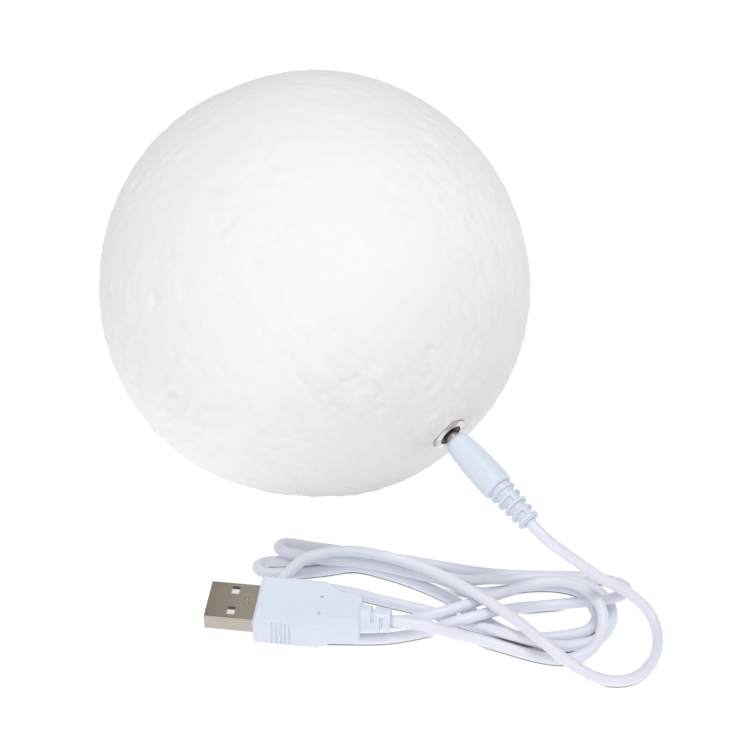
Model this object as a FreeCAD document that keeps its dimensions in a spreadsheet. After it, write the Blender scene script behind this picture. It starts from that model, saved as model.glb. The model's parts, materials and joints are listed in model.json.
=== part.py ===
"""Moon lamp, 110 mm across, lying on a table with its charging cable plugged in.

Millimetres, +Z up. The origin is on the table, straight below the centre of the globe.
The globe rests on a small flat. Its charging jack points outwards, to the right and
towards the viewer, a little below level, and the lamp's inner parts are stacked along
that same line: touch ring and jack in the closing cap, a cup with the battery and the
control board behind them, and the lights on the cup's far end, at the globe's middle.
"""
import FreeCAD
import Part
import Sketcher
import math
import os
import re

Vec = FreeCAD.Vector

# ---------------------------------------------------------------- driving dimensions
SIZES = {
    # globe and closing cap
    "globe_radius": 55.0,        # outside radius of the printed globe
    "globe_wall": 2.8,           # wall of the globe and of its cap
    "rest_flat_depth": 1.0,      # how much of the underside is cut flat
    "jack_turn": 39.5,           # jack line, degrees to the right of straight ahead
    "jack_dip": 15.0,            # jack line, degrees below level
    "cap_inset": 10.0,           # globe surface to the joint between globe and cap
    "cap_plane": "=globe_radius - cap_inset",
    "collar_length": 4.0,        # locating collar of the cap, inside the globe
    "collar_wall": 1.6,
    "fit_gap": 0.15,             # clearance between pieces that slide together
    # craters of the printed surface
    "crater_count": 34,
    "crater_small": 3.5,         # radius of the smallest crater
    "crater_large": 8.0,         # radius of the largest crater
    "crater_dish": 0.05,         # depth below the rim plane, per unit of radius
    # touch ring, its nut and its lug
    "ring_radius": 4.6,
    "ring_bore": 3.05,
    "ring_barrel": 4.0,
    "ring_stand": 0.6,           # face of the ring above the globe's surface
    "ring_flange": 1.2,
    "ring_groove": 0.2,
    "nut_radius": 6.5,
    "nut_height": 2.0,
    "lug_radius": 6.8,
    "lug_thickness": 0.4,
    "lug_tab": 8.8,              # reach of the lug's solder tab
    "pad_radius": 9.0,           # flat pad inside the cap, under the nut
    "pad_inset": 4.0,            # globe surface to the pad's flat face
    "pad_face": "=globe_radius - pad_inset",
    # jack
    "jack_nose": 3.0,
    "jack_bore": 1.8,
    "jack_inset": 11.0,          # globe surface to the bottom of the socket
    "jack_floor": "=globe_radius - jack_inset",
    "jack_flange": 4.6,
    "jack_flange_height": 6.3,
    "jack_recess": 0.4,          # mouth of the jack below the ring's face
    "pin_radius": 0.62,
    "pin_inset": 0.8,
    "pin_tip": "=globe_radius - pin_inset",
    "tag_radius": 0.5,
    "tag_circle": 2.6,
    # cup with its flange
    "cup_radius": 16.0,
    "cup_wall": 1.5,
    "rim_inset": 9.0,            # globe surface to the cup's rim
    "cup_rim": "=globe_radius - rim_inset",
    "cup_depth": 29.0,
    "cup_bottom": "=cup_rim - cup_depth",
    "flange_thickness": 1.5,
    "ledge_width": 1.5,
    "ledge_height": 2.0,
        "screw_count": 3,
    "screw_turn": 30.0,          # the first screw, degrees round the jack line
    "screw_shank": 1.2,
    "screw_head": 2.4,
    "screw_room": 0.6,           # between the cup's side and the screw heads
    "screw_circle": "=cup_radius + screw_room + screw_head",
    "flange_edge": 3.5,          # flange beyond the screws' own circle
    "flange_radius": "=screw_circle + flange_edge",
    "screw_head_height": 1.4,
    "screw_reach": 4.2,          # shank beyond the flange
    "screw_play": 0.2,
    "boss_radius": 3.2,
    # control board
    "board_thickness": 1.6,
    "board_gap": 0.6,            # between the board's edge and the cup
    "board_recess": 4.8,         # cup's rim to the board's outer face
    "board_face": "=cup_rim - board_recess",
    # battery
    "cell_width": 20.0,
    "cell_depth": 8.0,
    "cell_length": 17.0,
    "pad_thickness": 1.0,
    "rib_thickness": 1.2,
    "rib_length": 12.0,
    "lead_radius": 0.6,
    "lead_spread": 6.0,
    "wire_radius": 0.5,
    # lights
    "light_board_radius": 12.5,
    "light_board_thickness": 1.6,
    "light_side": 5.0,
    "light_height": 1.6,
    "light_circle": 7.6,
    "light_count": 6,
    "light_wire_offset": 10.4,
    "light_wire_pitch": 1.4,
    "light_screw_circle": 10.4,
    # charging plug at the lamp
    "plug_gap": 1.5,             # ring face to the nose of the grip
    "plug_reach": 9.5,           # barrel in front of the grip
    "plug_root": 3.0,            # barrel inside the grip
    "barrel_radius": 1.75,
    "barrel_wall": 0.4,
    "insulator_wall": 0.4,
    "contact_wall": 0.25,
    "grip_length": 17.0,
    "grip_nose": 3.6,
    "grip_tail": 4.0,
    "relief_length": 11.4,
    "relief_rings": 5,
    "relief_first": 3.4,
    "relief_last": 2.9,
    "relief_floor": 2.5,
    # cord
    "cord_diameter": 2.8,
    "cord_joint_gap": 0.3,       # between the moving stretch and the loops
    # USB plug
    "usb_width": 12.0,
    "usb_height": 4.5,
    "usb_wall": 0.3,
    "usb_reach": 12.1,           # bare shell in front of the grip
    "usb_root": 6.0,             # shell inside the grip
    "usb_corner": 0.5,
    "window_along": 2.0,
    "window_across": 2.4,
    "window_place": 6.3,
    "window_spread": 3.4,
    "tongue_thickness": 1.85,
    "tongue_setback": 0.6,
    "tongue_play": 0.9,          # total side clearance of the tongue in the shell
    "contact_length": 7.5,
    "contact_width": 1.0,
    "contact_thickness": 0.2,
    "contact_pitch": 2.5,
    "usb_grip_length": 25.8,
    "usb_grip_width": 15.8,
    "usb_grip_height": 7.7,
    "usb_grip_round": 1.1,
    "usb_shoulder": 17.0,        # length of the wide part of the grip
    "usb_neck_start": 21.2,
    "usb_neck_width": 10.2,
    "usb_groove_count": 5,
    "usb_groove_pitch": 1.07,
    "usb_groove_width": 0.5,
    "usb_groove_depth": 0.35,
    "usb_groove_place": 4.2,
    "usb_relief_length": 7.2,
    "usb_relief_radius": 3.7,
    "usb_relief_floor": 2.9,
    "usb_slot_width": 0.9,
    "usb_slot_spine": 0.9,       # left uncut beside each slot
    "dimple_radius": 0.5,        # ejector marks on the grip's upper face
    "dimple_depth": 0.25,
    "dimple_place": 7.7,
    "dimple_spread": 3.0,
    "usb_height_above": 7.1,     # table to the plug's centre line
    "usb_place_across": -25.4,
    "usb_place_ahead": -67.3,
    "usb_turn": -7.0,
}

doc = FreeCAD.newDocument("moon_lamp")
sheet = doc.addObject("Spreadsheet::Sheet", "Sizes")
for row, (alias, number) in enumerate(SIZES.items(), start=1):
    sheet.set(f"A{row}", alias)
    sheet.set(f"B{row}", str(number))
    sheet.setAlias(f"B{row}", alias)
doc.recompute()

ALIAS = re.compile(r"\b(" + "|".join(sorted(SIZES, key=len, reverse=True)) + r")\b")


def link(text):
    """Turn plain alias names in an expression into references to the sheet."""
    return ALIAS.sub(r"Sizes.\1", str(text))


def size(text):
    """Value of an expression of the sheet's aliases, in millimetres."""
    return float(sheet.evalExpression(link(text)))


# ------------------------------------------------------------------- places of pieces
CENTRE = Vec(0, 0, size("globe_radius - rest_flat_depth"))
JACK_TURN = FreeCAD.Rotation(Vec(0, 0, 1), size("jack_turn"))
JACK_TILT = FreeCAD.Rotation(Vec(1, 0, 0), 90 + size("jack_dip"))
LAMP = FreeCAD.Placement(CENTRE, JACK_TURN.multiply(JACK_TILT))
USB = FreeCAD.Placement(
    Vec(size("usb_place_across"), size("usb_place_ahead"), size("usb_height_above")),
    FreeCAD.Rotation(Vec(0, 0, 1), size("usb_turn")))
ALONG_X = FreeCAD.Rotation(Vec(0, 1, 0), 90)


def shifted(frame, x=0, y=0, z=0, turn=None):
    """Placement at a point of a frame, given in the frame's own directions."""
    return frame.multiply(FreeCAD.Placement(Vec(x, y, z), turn or FreeCAD.Rotation()))


def around(count, radius, start=0.0):
    """Points spaced evenly round a circle, as (x, y, angle in degrees)."""
    for step in range(int(round(count))):
        angle = start + 360.0 * step / count
        yield (radius * math.cos(math.radians(angle)), radius * math.sin(math.radians(angle)), angle)


# ------------------------------------------------------------------- building blocks
def bind(item, **expressions):
    for name, text in expressions.items():
        item.setExpression(name, link(text))
    return item


def cylinder(name, radius, height, place):
    item = doc.addObject("Part::Cylinder", name)
    bind(item, Radius=radius, Height=height)
    item.Placement = place
    return item


def box(name, length, width, height, frame, x="0", y="0", z="0", turn=0.0):
    """Block with its low end at x and z and centred across on y."""
    item = doc.addObject("Part::Box", name)
    bind(item, Length=length, Width=width, Height=height)
    corner = shifted(frame, turn=FreeCAD.Rotation(Vec(0, 0, 1), turn))
    item.Placement = shifted(corner, size(x), size(f"({y}) - ({width})/2"), size(z))
    return item


def cut(name, base, *tools):
    item = doc.addObject("Part::Cut", name)
    item.Base = base
    item.Tool = tools[0] if len(tools) == 1 else fuse(name + "_tools", *tools)
    return item


def fuse(name, *pieces):
    item = doc.addObject("Part::MultiFuse", name)
    item.Shapes = list(pieces)
    item.Refine = True
    return item


def common(name, *pieces):
    item = doc.addObject("Part::MultiCommon", name)
    item.Shapes = list(pieces)
    return item


def group(name, pieces):
    """Several separate solids that share one node."""
    item = doc.addObject("Part::Compound", name)
    item.Links = list(pieces)
    return item


def outline(body, name, plane, points):
    """Closed sketch of straight lines, each corner held by two expressions."""
    sketch = body.newObject("Sketcher::SketchObject", name)
    origin_plane = [f for f in body.Origin.OriginFeatures if f.Role == plane][0]
    sketch.AttachmentSupport = (origin_plane, [""])
    sketch.MapMode = "FlatFace"
    values = [(size(x), size(y)) for x, y in points]
    count = len(points)
    for index, (x, y) in enumerate(values):
        ahead = values[(index + 1) % count]
        sketch.addGeometry(Part.LineSegment(Vec(x, y, 0), Vec(ahead[0], ahead[1], 0)), False)
    for index in range(count):
        sketch.addConstraint(Sketcher.Constraint("Coincident", index, 2, (index + 1) % count, 1))
    for index, (x, y) in enumerate(points):
        for kind, axis, text, value in (("DistanceX", -2, x, values[index][0]),
                                        ("DistanceY", -1, y, values[index][1])):
            if str(text) == "0":
                sketch.addConstraint(Sketcher.Constraint("PointOnObject", index, 1, axis))
                continue
            number = sketch.addConstraint(Sketcher.Constraint(kind, -1, 1, index, 1, value))
            sketch.setExpression(f"Constraints[{number}]", link(text))
    return sketch


def turned(name, profile, place):
    """Piece turned about its own Z axis from a profile of (radius, height) corners."""
    body = doc.addObject("PartDesign::Body", name)
    sketch = outline(body, name + "_profile", "XZ_Plane", profile)
    spin = body.newObject("PartDesign::Revolution", name + "_turned")
    spin.Profile = sketch
    spin.ReferenceAxis = (sketch, ["V_Axis"])
    spin.Angle = 360
    body.Placement = place
    return body


NODES = {}


def node(name, item):
    """Name a finished sub-part; the name is its label and its file."""
    item.Label = name
    NODES[name] = item
    return item


# ------------------------------------------------------------------- globe and its cap
def crater_tools():
    """Spheres that each press one shallow dish into the globe, spread on a spiral.

    Each dish has a rim radius and a depth below its rim plane, and the sphere that
    cuts it is worked out from those two and the globe's radius.
    """
    radius = size("globe_radius")
    count = int(size("crater_count"))
    golden = math.pi * (3 - math.sqrt(5))
    tools = []
    for step in range(count):
        height = 1 - 2 * (step + 0.5) / count
        turn = golden * step
        level = math.sqrt(1 - height * height)
        way = Vec(level * math.cos(turn), level * math.sin(turn), height)
        if way.z > 0.72:
            continue                      # the cap keeps a plain dome round the jack
        share = (math.sin(step * 2.4) + 1) / 2
        rim = size("crater_small") + share ** 2 * size("crater_large - crater_small")
        rim_plane = math.sqrt(radius ** 2 - rim ** 2)
        depth = radius - rim_plane + size("crater_dish") * rim
        far = (radius ** 2 - (radius - depth) ** 2) / (2 * (rim_plane - radius + depth))
        tool = doc.addObject("Part::Sphere", f"crater_{step}")
        tool.Radius = far - radius + depth
        tool.Placement = shifted(LAMP, *(way * far))
        if (tool.Placement.Base - CENTRE).normalize().z > -0.93:
            tools.append(tool)            # none on the resting flat
        else:
            doc.removeObject(tool.Name)
    return tools


def ball(name, radius):
    item = doc.addObject("Part::Sphere", name)
    bind(item, Radius=radius)
    item.Placement = LAMP
    return item


def make_globe():
    beyond = cylinder("beyond_joint", "globe_radius", "globe_radius", shifted(LAMP, z=size("cap_plane")))
    below = box("below_flat", "2*globe_radius", "2*globe_radius", "rest_flat_depth + 1",
                FreeCAD.Placement(), x="-globe_radius", z="-rest_flat_depth - 1")
    pressed = cut("globe_pressed", ball("globe_ball", "globe_radius"), *crater_tools())
    hollow = ball("globe_hollow", "globe_radius - globe_wall")
    return cut("globe_piece", pressed, hollow, beyond, below)


INNER = "(globe_radius - globe_wall)"
OPENING = f"sqrt({INNER}^2 - cap_plane^2)"
COLLAR = f"({OPENING} - fit_gap)"
FLANGE_BACK = "(cup_rim - flange_thickness)"


def make_cap():
    slab = cylinder("cap_slab", "globe_radius", "globe_radius", shifted(LAMP, z=size("cap_plane")))
    hollow = ball("cap_hollow", INNER)
    dome = cut("cap_dome", common("cap_blank", ball("cap_ball", "globe_radius"), slab), hollow)
    # the collar runs from inside the globe up to the cap's own inner face
    collar = turned("cap_collar", [
        (f"{COLLAR} - collar_wall", "cap_plane - collar_length"),
        (COLLAR, "cap_plane - collar_length"),
        (COLLAR, "cap_plane + 0.6"),
        (f"{COLLAR} - collar_wall", "cap_plane + 0.6 + collar_wall"),
    ], LAMP)
    pad = cylinder("cap_pad", "pad_radius", "globe_radius - globe_wall/2 - pad_face",
                   shifted(LAMP, z=size("pad_face")))
    solid = ball("cap_limit", "globe_radius - globe_wall/2")
    bosses = [cylinder(f"cap_boss_{int(angle)}", "boss_radius", "globe_radius - cup_rim",
                       shifted(LAMP, x, y, size("cup_rim")))
              for x, y, angle in around(size("screw_count"), size("screw_circle"), size("screw_turn"))]
    inner = common("cap_inner", fuse("cap_posts", pad, *bosses), solid)
    whole = fuse("cap_whole", dome, inner, collar)
    recess = cylinder("cap_recess", "ring_radius + fit_gap", "globe_radius",
                      shifted(LAMP, z=size("globe_radius + ring_stand - ring_flange")))
    hole = cylinder("cap_hole", "ring_barrel", "globe_radius", shifted(LAMP, z=size("cup_rim")))
    threads = [cylinder(f"cap_thread_{int(angle)}", "screw_shank", "screw_reach",
                        shifted(LAMP, x, y, size("cup_rim")))
               for x, y, angle in around(size("screw_count"), size("screw_circle"), size("screw_turn"))]
    return cut("cap_piece", whole, recess, hole, *threads)


# ------------------------------------------------------- touch ring, its nut, the jack
RING_FACE = "(globe_radius + ring_stand)"
RING_SEAT = f"({RING_FACE} - ring_flange)"
NUT_BASE = "(pad_face - lug_thickness - nut_height)"
BOARD_BACK = "(board_face - board_thickness)"


def make_touch_ring():
    """Stepped ring with a bevelled edge and two fine grooves turned in its face."""
    width = "(ring_radius - ring_bore)"
    face = []
    for share in (0.36, 0.68):
        middle = f"ring_radius - {share}*{width}"
        face += [(f"{middle} + ring_groove", RING_FACE),
                 (middle, f"{RING_FACE} - ring_groove"),
                 (f"{middle} - ring_groove", RING_FACE)]
    return turned("ring_body", [
        ("ring_bore", f"{NUT_BASE} - 0.4"),
        ("ring_barrel", f"{NUT_BASE} - 0.4"),
        ("ring_barrel", RING_SEAT),
        ("ring_radius", RING_SEAT),
        ("ring_radius", f"{RING_FACE} - 0.3"),
        ("ring_radius - 0.3", RING_FACE),
    ] + face + [
        ("ring_bore + 0.15", RING_FACE),
        ("ring_bore", f"{RING_FACE} - 0.15"),
    ], LAMP)


def make_ring_nut():
    hexagon = doc.addObject("Part::Prism", "nut_hexagon")
    hexagon.Polygon = 6
    bind(hexagon, Circumradius="nut_radius", Height="nut_height")
    hexagon.Placement = shifted(LAMP, z=size(NUT_BASE))
    hole = cylinder("nut_hole", "ring_barrel", "nut_height + 2", shifted(LAMP, z=size(NUT_BASE) - 1))
    return cut("nut_piece", hexagon, hole)


def make_touch_lug():
    base = "pad_face - lug_thickness"
    washer = cylinder("lug_washer", "lug_radius", "lug_thickness", shifted(LAMP, z=size(base)))
    tab = box("lug_tab_blank", "2", "lug_tab", "lug_thickness", LAMP, x="-1", y="-lug_tab/2", z=base)
    hole = cylinder("lug_hole", "ring_barrel", "lug_thickness + 2", shifted(LAMP, z=size(base) - 1))
    return cut("lug_piece", fuse("lug_blank", washer, tab), hole)


def make_jack_housing():
    return turned("jack_body", [
        ("pin_radius", "board_face"),
        ("jack_flange", "board_face"),
        ("jack_flange", "board_face + jack_flange_height"),
        ("jack_nose", "board_face + jack_flange_height"),
        ("jack_nose", f"{RING_FACE} - jack_recess"),
        ("jack_bore + 0.3", f"{RING_FACE} - jack_recess"),
        ("jack_bore", f"{RING_FACE} - jack_recess - 0.3"),
        ("jack_bore", "jack_floor"),
        ("pin_radius", "jack_floor"),
    ], LAMP)


def make_jack_pin():
    return turned("jack_pin_body", [
        ("0", "board_face"),
        ("pin_radius", "board_face"),
        ("pin_radius", "pin_tip - pin_radius/2"),
        ("pin_radius/2", "pin_tip"),
        ("0", "pin_tip"),
    ], LAMP)


def tag_cylinders(name, length, below):
    return [cylinder(f"{name}_{int(angle)}", "tag_radius", length,
                     shifted(LAMP, x, y, size(below)))
            for x, y, angle in around(3, size("tag_circle"), 90)]


def make_jack_tags():
    return group("tags_group", tag_cylinders("tag", "board_thickness + 0.8", f"{BOARD_BACK} - 0.8"))


# ------------------------------------------------------------- cup, board and battery
def make_cup():
    inside = "(cup_radius - cup_wall)"
    shell = turned("cup_shell", [
        ("0", "cup_bottom"),
        ("cup_radius", "cup_bottom"),
        ("cup_radius", FLANGE_BACK),
        ("flange_radius", FLANGE_BACK),
        ("flange_radius", "cup_rim"),
        (inside, "cup_rim"),
        (inside, BOARD_BACK),
        (f"{inside} - ledge_width", BOARD_BACK),
        (f"{inside} - ledge_width", f"{BOARD_BACK} - ledge_height + ledge_width"),
        (inside, f"{BOARD_BACK} - ledge_height"),
        (inside, "cup_bottom + cup_wall"),
        ("0", "cup_bottom + cup_wall"),
    ], LAMP)
    ribs = [box(f"cup_rib_{name}", "2*cup_radius", "rib_thickness", "rib_length", LAMP,
                x="-cup_radius", y=f"{side}*(cell_depth + pad_thickness + rib_thickness)/2",
                z="cup_bottom + cup_wall/2")
            for name, side in (("low", -1), ("high", 1))]
    limit = cylinder("cup_limit", f"{inside} + cup_wall/2", "cup_rim", shifted(LAMP, z=size("cup_bottom")))
    whole = fuse("cup_whole", shell, common("cup_ribs", fuse("cup_rib_pair", *ribs), limit))
    holes = [cylinder(f"cup_hole_{int(angle)}", "screw_shank + screw_play", "flange_thickness + 2",
                      shifted(LAMP, x, y, size(FLANGE_BACK) - 1))
             for x, y, angle in around(size("screw_count"), size("screw_circle"), size("screw_turn"))]
    slot = cylinder("cup_wire_hole", "2*light_wire_pitch", "cup_wall + 2",
                    shifted(LAMP, 0, size("light_wire_offset"), size("cup_bottom") - 1))
    threads = [cylinder(f"cup_thread_{int(angle)}", "screw_shank", "cup_wall + 2",
                        shifted(LAMP, x, y, size("cup_bottom") - 1))
               for x, y, angle in around(2, size("light_screw_circle"))]
    return cut("cup_piece", whole, *holes, slot, *threads)


def make_screws(name, base, reach, points):
    """Pan-head screws whose heads point to the globe's centre."""
    screws = []
    for number, (x, y, angle) in enumerate(points):
        screws.append(turned(f"{name}_{number}", [
            ("0", f"-(screw_head_height)"),
            ("screw_head*0.6", f"-(screw_head_height)"),
            ("screw_head", f"-(screw_head_height*0.6)"),
            ("screw_head", "0"),
            ("screw_shank", "0"),
            ("screw_shank", reach),
            ("0", reach),
        ], shifted(LAMP, x, y, size(base))))
    return group(name + "_group", screws)


def make_control_board():
    disc = cylinder("board_disc", "cup_radius - cup_wall - board_gap", "board_thickness",
                    shifted(LAMP, z=size(BOARD_BACK)))
    return cut("board_piece", disc, *tag_cylinders("board_hole", "board_thickness + 2", f"{BOARD_BACK} - 1"))


def make_board_chips():
    """Charging chip, touch chip and two passive parts under the control board."""
    chips = [(-3.0, -8.0, 6.0, 4.4, 1.5), (5.5, -7.0, 3.0, 3.0, 1.0),
             (-9.5, 3.0, 2.4, 4.0, 1.1), (8.5, 2.0, 1.6, 3.0, 1.3)]
    return group("chips_group", [
        box(f"chip_{number}", length, width, height, LAMP,
            x=f"{x} - {length}/2", y=y, z=f"{BOARD_BACK} - {height}")
        for number, (x, y, length, width, height) in enumerate(chips)])


CELL_BASE = "(cup_bottom + cup_wall + fit_gap)"


def make_battery_cell():
    """Flat pouch cell with rounded long edges."""
    cell = box("cell_blank", "cell_width", "cell_depth", "cell_length", LAMP,
               x="-cell_width/2", y="pad_thickness/2", z=CELL_BASE)
    doc.recompute()
    edges = [number for number, edge in enumerate(cell.Shape.Edges, start=1)
             if abs(edge.Length - size("cell_length")) < 0.01]
    rounded = doc.addObject("Part::Fillet", "cell_rounded")
    rounded.Base = cell
    radius = size("cell_depth/4")
    rounded.Edges = [(number, radius, radius) for number in edges]
    return rounded


def make_battery_pad():
    return box("pad_blank", "cell_width - 2", "pad_thickness", "cell_length - 1", LAMP,
               x="-cell_width/2 + 1", y="-cell_depth/2", z=CELL_BASE)


def make_battery_leads():
    start = f"{CELL_BASE} + cell_length"
    return group("leads_group", [
        cylinder(f"lead_{name}", "lead_radius", f"{BOARD_BACK} - ({start})",
                 shifted(LAMP, side * size("lead_spread"), 0, size(start)))
        for name, side in (("low", -1), ("high", 1))])


def make_touch_wire():
    return cylinder("touch_wire_blank", "wire_radius", "pad_face - lug_thickness - board_face",
                    shifted(LAMP, 0, -size("lug_tab") + 1, size("board_face")))


# ------------------------------------------------------------------------------ lights
def make_light_board():
    base = "cup_bottom - light_board_thickness"
    disc = cylinder("light_disc", "light_board_radius", "light_board_thickness", shifted(LAMP, z=size(base)))
    holes = [cylinder(f"light_hole_{int(angle)}", "screw_shank", "light_board_thickness + 2",
                      shifted(LAMP, x, y, size(base) - 1))
             for x, y, angle in around(2, size("light_screw_circle"))]
    return cut("light_board_piece", disc, *holes)


def make_lights():
    """Ring of square light-emitting packages, with one more in the middle."""
    base = "cup_bottom - light_board_thickness - light_height"
    spots = [(0.0, 0.0, 0.0)] + list(around(size("light_count"), size("light_circle"), 30))
    lights = []
    for number, (x, y, angle) in enumerate(spots):
        frame = shifted(LAMP, x, y, 0, FreeCAD.Rotation(Vec(0, 0, 1), angle))
        lights.append(box(f"light_{number}", "light_side", "light_side", "light_height", frame,
                          x="-light_side/2", z=base))
    return group("lights_group", lights)


def make_light_wires():
    return group("light_wires_group", [
        cylinder(f"light_wire_{step}", "wire_radius", f"{BOARD_BACK} - cup_bottom",
                 shifted(LAMP, (step - 1) * size("light_wire_pitch"), size("light_wire_offset"),
                         size("cup_bottom")))
        for step in range(3)])


# ------------------------------------------------------------ charging plug at the lamp
NOSE = f"({RING_FACE} + plug_gap)"
TAIL = f"({NOSE} + grip_length)"


def make_plug_grip():
    """Round grip, a little thicker at the cord's end, with soft ends."""
    return turned("grip_body", [
        ("barrel_radius", NOSE),
        ("grip_nose - 1.4", NOSE),
        ("grip_nose - 0.6", f"{NOSE} + 0.3"),
        ("grip_nose - 0.15", f"{NOSE} + 1.0"),
        ("grip_nose", f"{NOSE} + 2.0"),
        ("grip_tail", f"{TAIL} - 1.1"),
        ("grip_tail - 0.3", f"{TAIL} - 0.3"),
        ("grip_tail - 1.1", TAIL),
        ("0", TAIL),
        ("0", f"{NOSE} + plug_root"),
        ("barrel_radius", f"{NOSE} + plug_root"),
    ], LAMP)


def make_tube(name, outer, wall, tip):
    return turned(name, [
        (f"{outer} - {wall}", f"{NOSE} - plug_reach + {tip}"),
        (outer, f"{NOSE} - plug_reach + {tip}"),
        (outer, f"{NOSE} + plug_root"),
        (f"{outer} - {wall}", f"{NOSE} + plug_root"),
    ], LAMP)


def make_plug_relief():
    """Tapered sleeve with one ring per step, so that the cord bends gently."""
    rings = int(size("relief_rings"))
    pitch = f"(relief_length/{rings})"
    profile = [("0", TAIL)]
    for step in range(rings):
        radius = f"relief_first - {step}*(relief_first - relief_last)/{rings - 1}"
        low = f"{TAIL} + {step}*{pitch}"
        profile += [("relief_floor", low),
                    ("relief_floor", f"{low} + 0.46*{pitch}"),
                    (radius, f"{low} + 0.52*{pitch}"),
                    (radius, f"{low} + 0.92*{pitch}"),
                    ("relief_floor", f"{low} + {pitch}")]
    # neighbouring rings share a corner, so only the last ring keeps its own
    corners = [profile[0], profile[1]]
    for corner in profile[2:]:
        if corner[0] == "relief_floor" and corners[-1][0] == "relief_floor" \
                and abs(size(corner[1]) - size(corners[-1][1])) < 1e-6:
            continue
        corners.append(corner)
    corners.append(("0", f"{TAIL} + relief_length"))
    return turned("relief_body", corners, LAMP)


# -------------------------------------------------------------------------------- cord
# The cord runs from the plug at the lamp, over the table in a loose bundle of loops,
# to the USB plug. These are the corners of its route, chosen by eye.
CORD_ROUTE = [
    # down from the plug to the table and round the outer loop
    (56.6, -68.6, 30.0), (62.3, -69.6, 26.0), (70.1, -66.9, 15.9), (77.5, -64.2, 8.6), (83.6, -65.3, 3.2),
    (85.4, -72.4, 1.4), (83.5, -80.6, 1.4), (77.8, -86.8, 1.4), (70.8, -87.2, 1.5),
    # back across the top of the bundle
    (64.0, -86.1, 4.6), (56.2, -81.0, 8.2), (50.6, -74.6, 8.4), (45.0, -69.1, 8.6), (37.7, -63.1, 8.6),
    (30.9, -58.1, 8.5), (23.1, -54.0, 8.5), (14.2, -51.0, 8.6), (4.9, -50.4, 8.8), (-2.6, -52.8, 8.2),
    (-6.4, -54.9, 5.3),
    # first turn, under the USB plug
    (-10.4, -58.9, 2.2), (-13.2, -63.6, 1.4), (-13.0, -69.8, 1.4), (-8.0, -73.4, 1.4), (0.0, -73.2, 1.4),
    (10.8, -73.6, 1.4), (18.2, -73.5, 1.4), (24.3, -72.2, 1.4), (29.3, -70.8, 1.4),
    (33.2, -71.2, 4.2), (38.8, -70.3, 5.5), (44.4, -68.0, 5.2), (50.4, -64.1, 2.2), (58.0, -62.5, 1.4),
    (64.7, -62.4, 2.2), (69.3, -64.7, 5.4), (74.6, -64.1, 5.7),
    # fold at the right, then along the back
    (78.2, -61.4, 4.8), (78.9, -57.7, 3.2), (76.3, -54.6, 1.8), (71.6, -53.0, 1.4), (65.0, -52.3, 1.4),
    (54.5, -52.3, 1.4), (42.3, -51.3, 1.4), (30.9, -48.4, 1.4), (18.1, -45.6, 1.4), (5.2, -43.0, 1.4),
    (-1.6, -41.9, 1.4),
    # upper fold at the left
    (-6.6, -40.8, 1.8), (-9.0, -42.4, 2.8), (-9.3, -45.3, 4.2), (-7.0, -47.5, 4.9), (-3.6, -48.7, 4.9),
    (0.4, -49.6, 4.9),
    (5.4, -50.3, 5.0), (11.7, -50.7, 4.9), (18.6, -52.3, 4.8), (25.7, -55.0, 5.0), (33.2, -55.9, 3.9),
    (39.6, -58.3, 1.4), (46.6, -57.9, 1.4), (53.4, -55.7, 1.4), (61.0, -55.6, 1.4),
    # inner loop at the right
    (67.0, -57.3, 1.4), (70.4, -61.3, 1.4), (71.0, -66.3, 1.4), (68.6, -70.7, 1.4), (63.5, -72.3, 1.4),
    (57.8, -73.2, 1.4), (51.7, -73.5, 1.4), (46.2, -70.4, 1.4), (41.6, -66.4, 1.4), (37.1, -62.4, 1.4),
    (31.9, -58.3, 1.4), (24.6, -54.1, 1.4), (17.0, -50.9, 1.4), (10.4, -48.6, 1.4), (4.0, -50.2, 1.4),
    (-2.3, -51.1, 1.4),
    # lower fold at the left
    (-8.0, -53.0, 3.0), (-12.0, -53.5, 3.6), (-14.3, -51.9, 3.1), (-14.5, -49.1, 2.1), (-12.4, -47.2, 1.4),
    (-8.0, -47.0, 1.4),
    (-2.2, -47.1, 1.4), (4.4, -46.5, 2.6), (11.2, -46.3, 4.2), (19.0, -48.6, 3.4), (26.2, -51.2, 1.4),
    (33.3, -52.5, 1.4),
    (38.8, -54.6, 1.9), (43.5, -55.7, 4.0), (48.7, -57.0, 5.1), (55.0, -56.4, 5.2), (61.5, -56.1, 5.2),
    # outer loop at the right
    (67.3, -57.8, 5.0), (72.3, -60.6, 4.0), (74.8, -63.1, 1.4), (74.1, -69.6, 1.4), (70.1, -73.9, 1.4),
    (65.5, -75.6, 1.4), (60.2, -76.2, 1.6), (54.6, -76.2, 3.4), (48.5, -74.7, 4.4), (43.0, -71.5, 2.9),
    (37.8, -68.6, 1.4), (32.9, -66.0, 1.4), (26.8, -63.6, 1.4), (19.3, -61.4, 1.4), (11.7, -58.7, 1.4),
    (5.4, -57.0, 1.4),
    # second turn, under the USB plug
    (-1.2, -55.9, 1.4), (-5.6, -59.6, 1.4), (-4.6, -65.4, 1.4), (0.6, -68.6, 1.4), (7.0, -68.2, 1.4),
    (12.6, -67.4, 1.4), (18.2, -67.7, 1.4),
    (24.2, -68.6, 2.8), (29.3, -69.4, 5.5), (35.9, -67.1, 5.5), (41.6, -64.2, 5.3), (47.9, -61.6, 5.3),
    # top loop at the right
    (54.2, -59.9, 6.4), (60.6, -59.7, 7.6), (66.3, -62.1, 8.4), (69.7, -66.8, 9.0), (71.3, -71.2, 8.4),
    (70.9, -74.8, 6.2), (69.4, -77.3, 3.4), (65.9, -79.3, 1.6), (60.4, -80.6, 1.4), (53.2, -78.8, 1.4),
    # along the front and up to the USB plug
    (46.1, -75.8, 1.4), (39.3, -74.0, 2.4), (32.8, -74.8, 5.4), (26.5, -73.7, 7.1),
]
ARC_SHARE = 0.45         # how much of the shorter run each bend uses
LEAD_RUNS = 8            # whole runs in the stretch that moves with the plug


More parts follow.
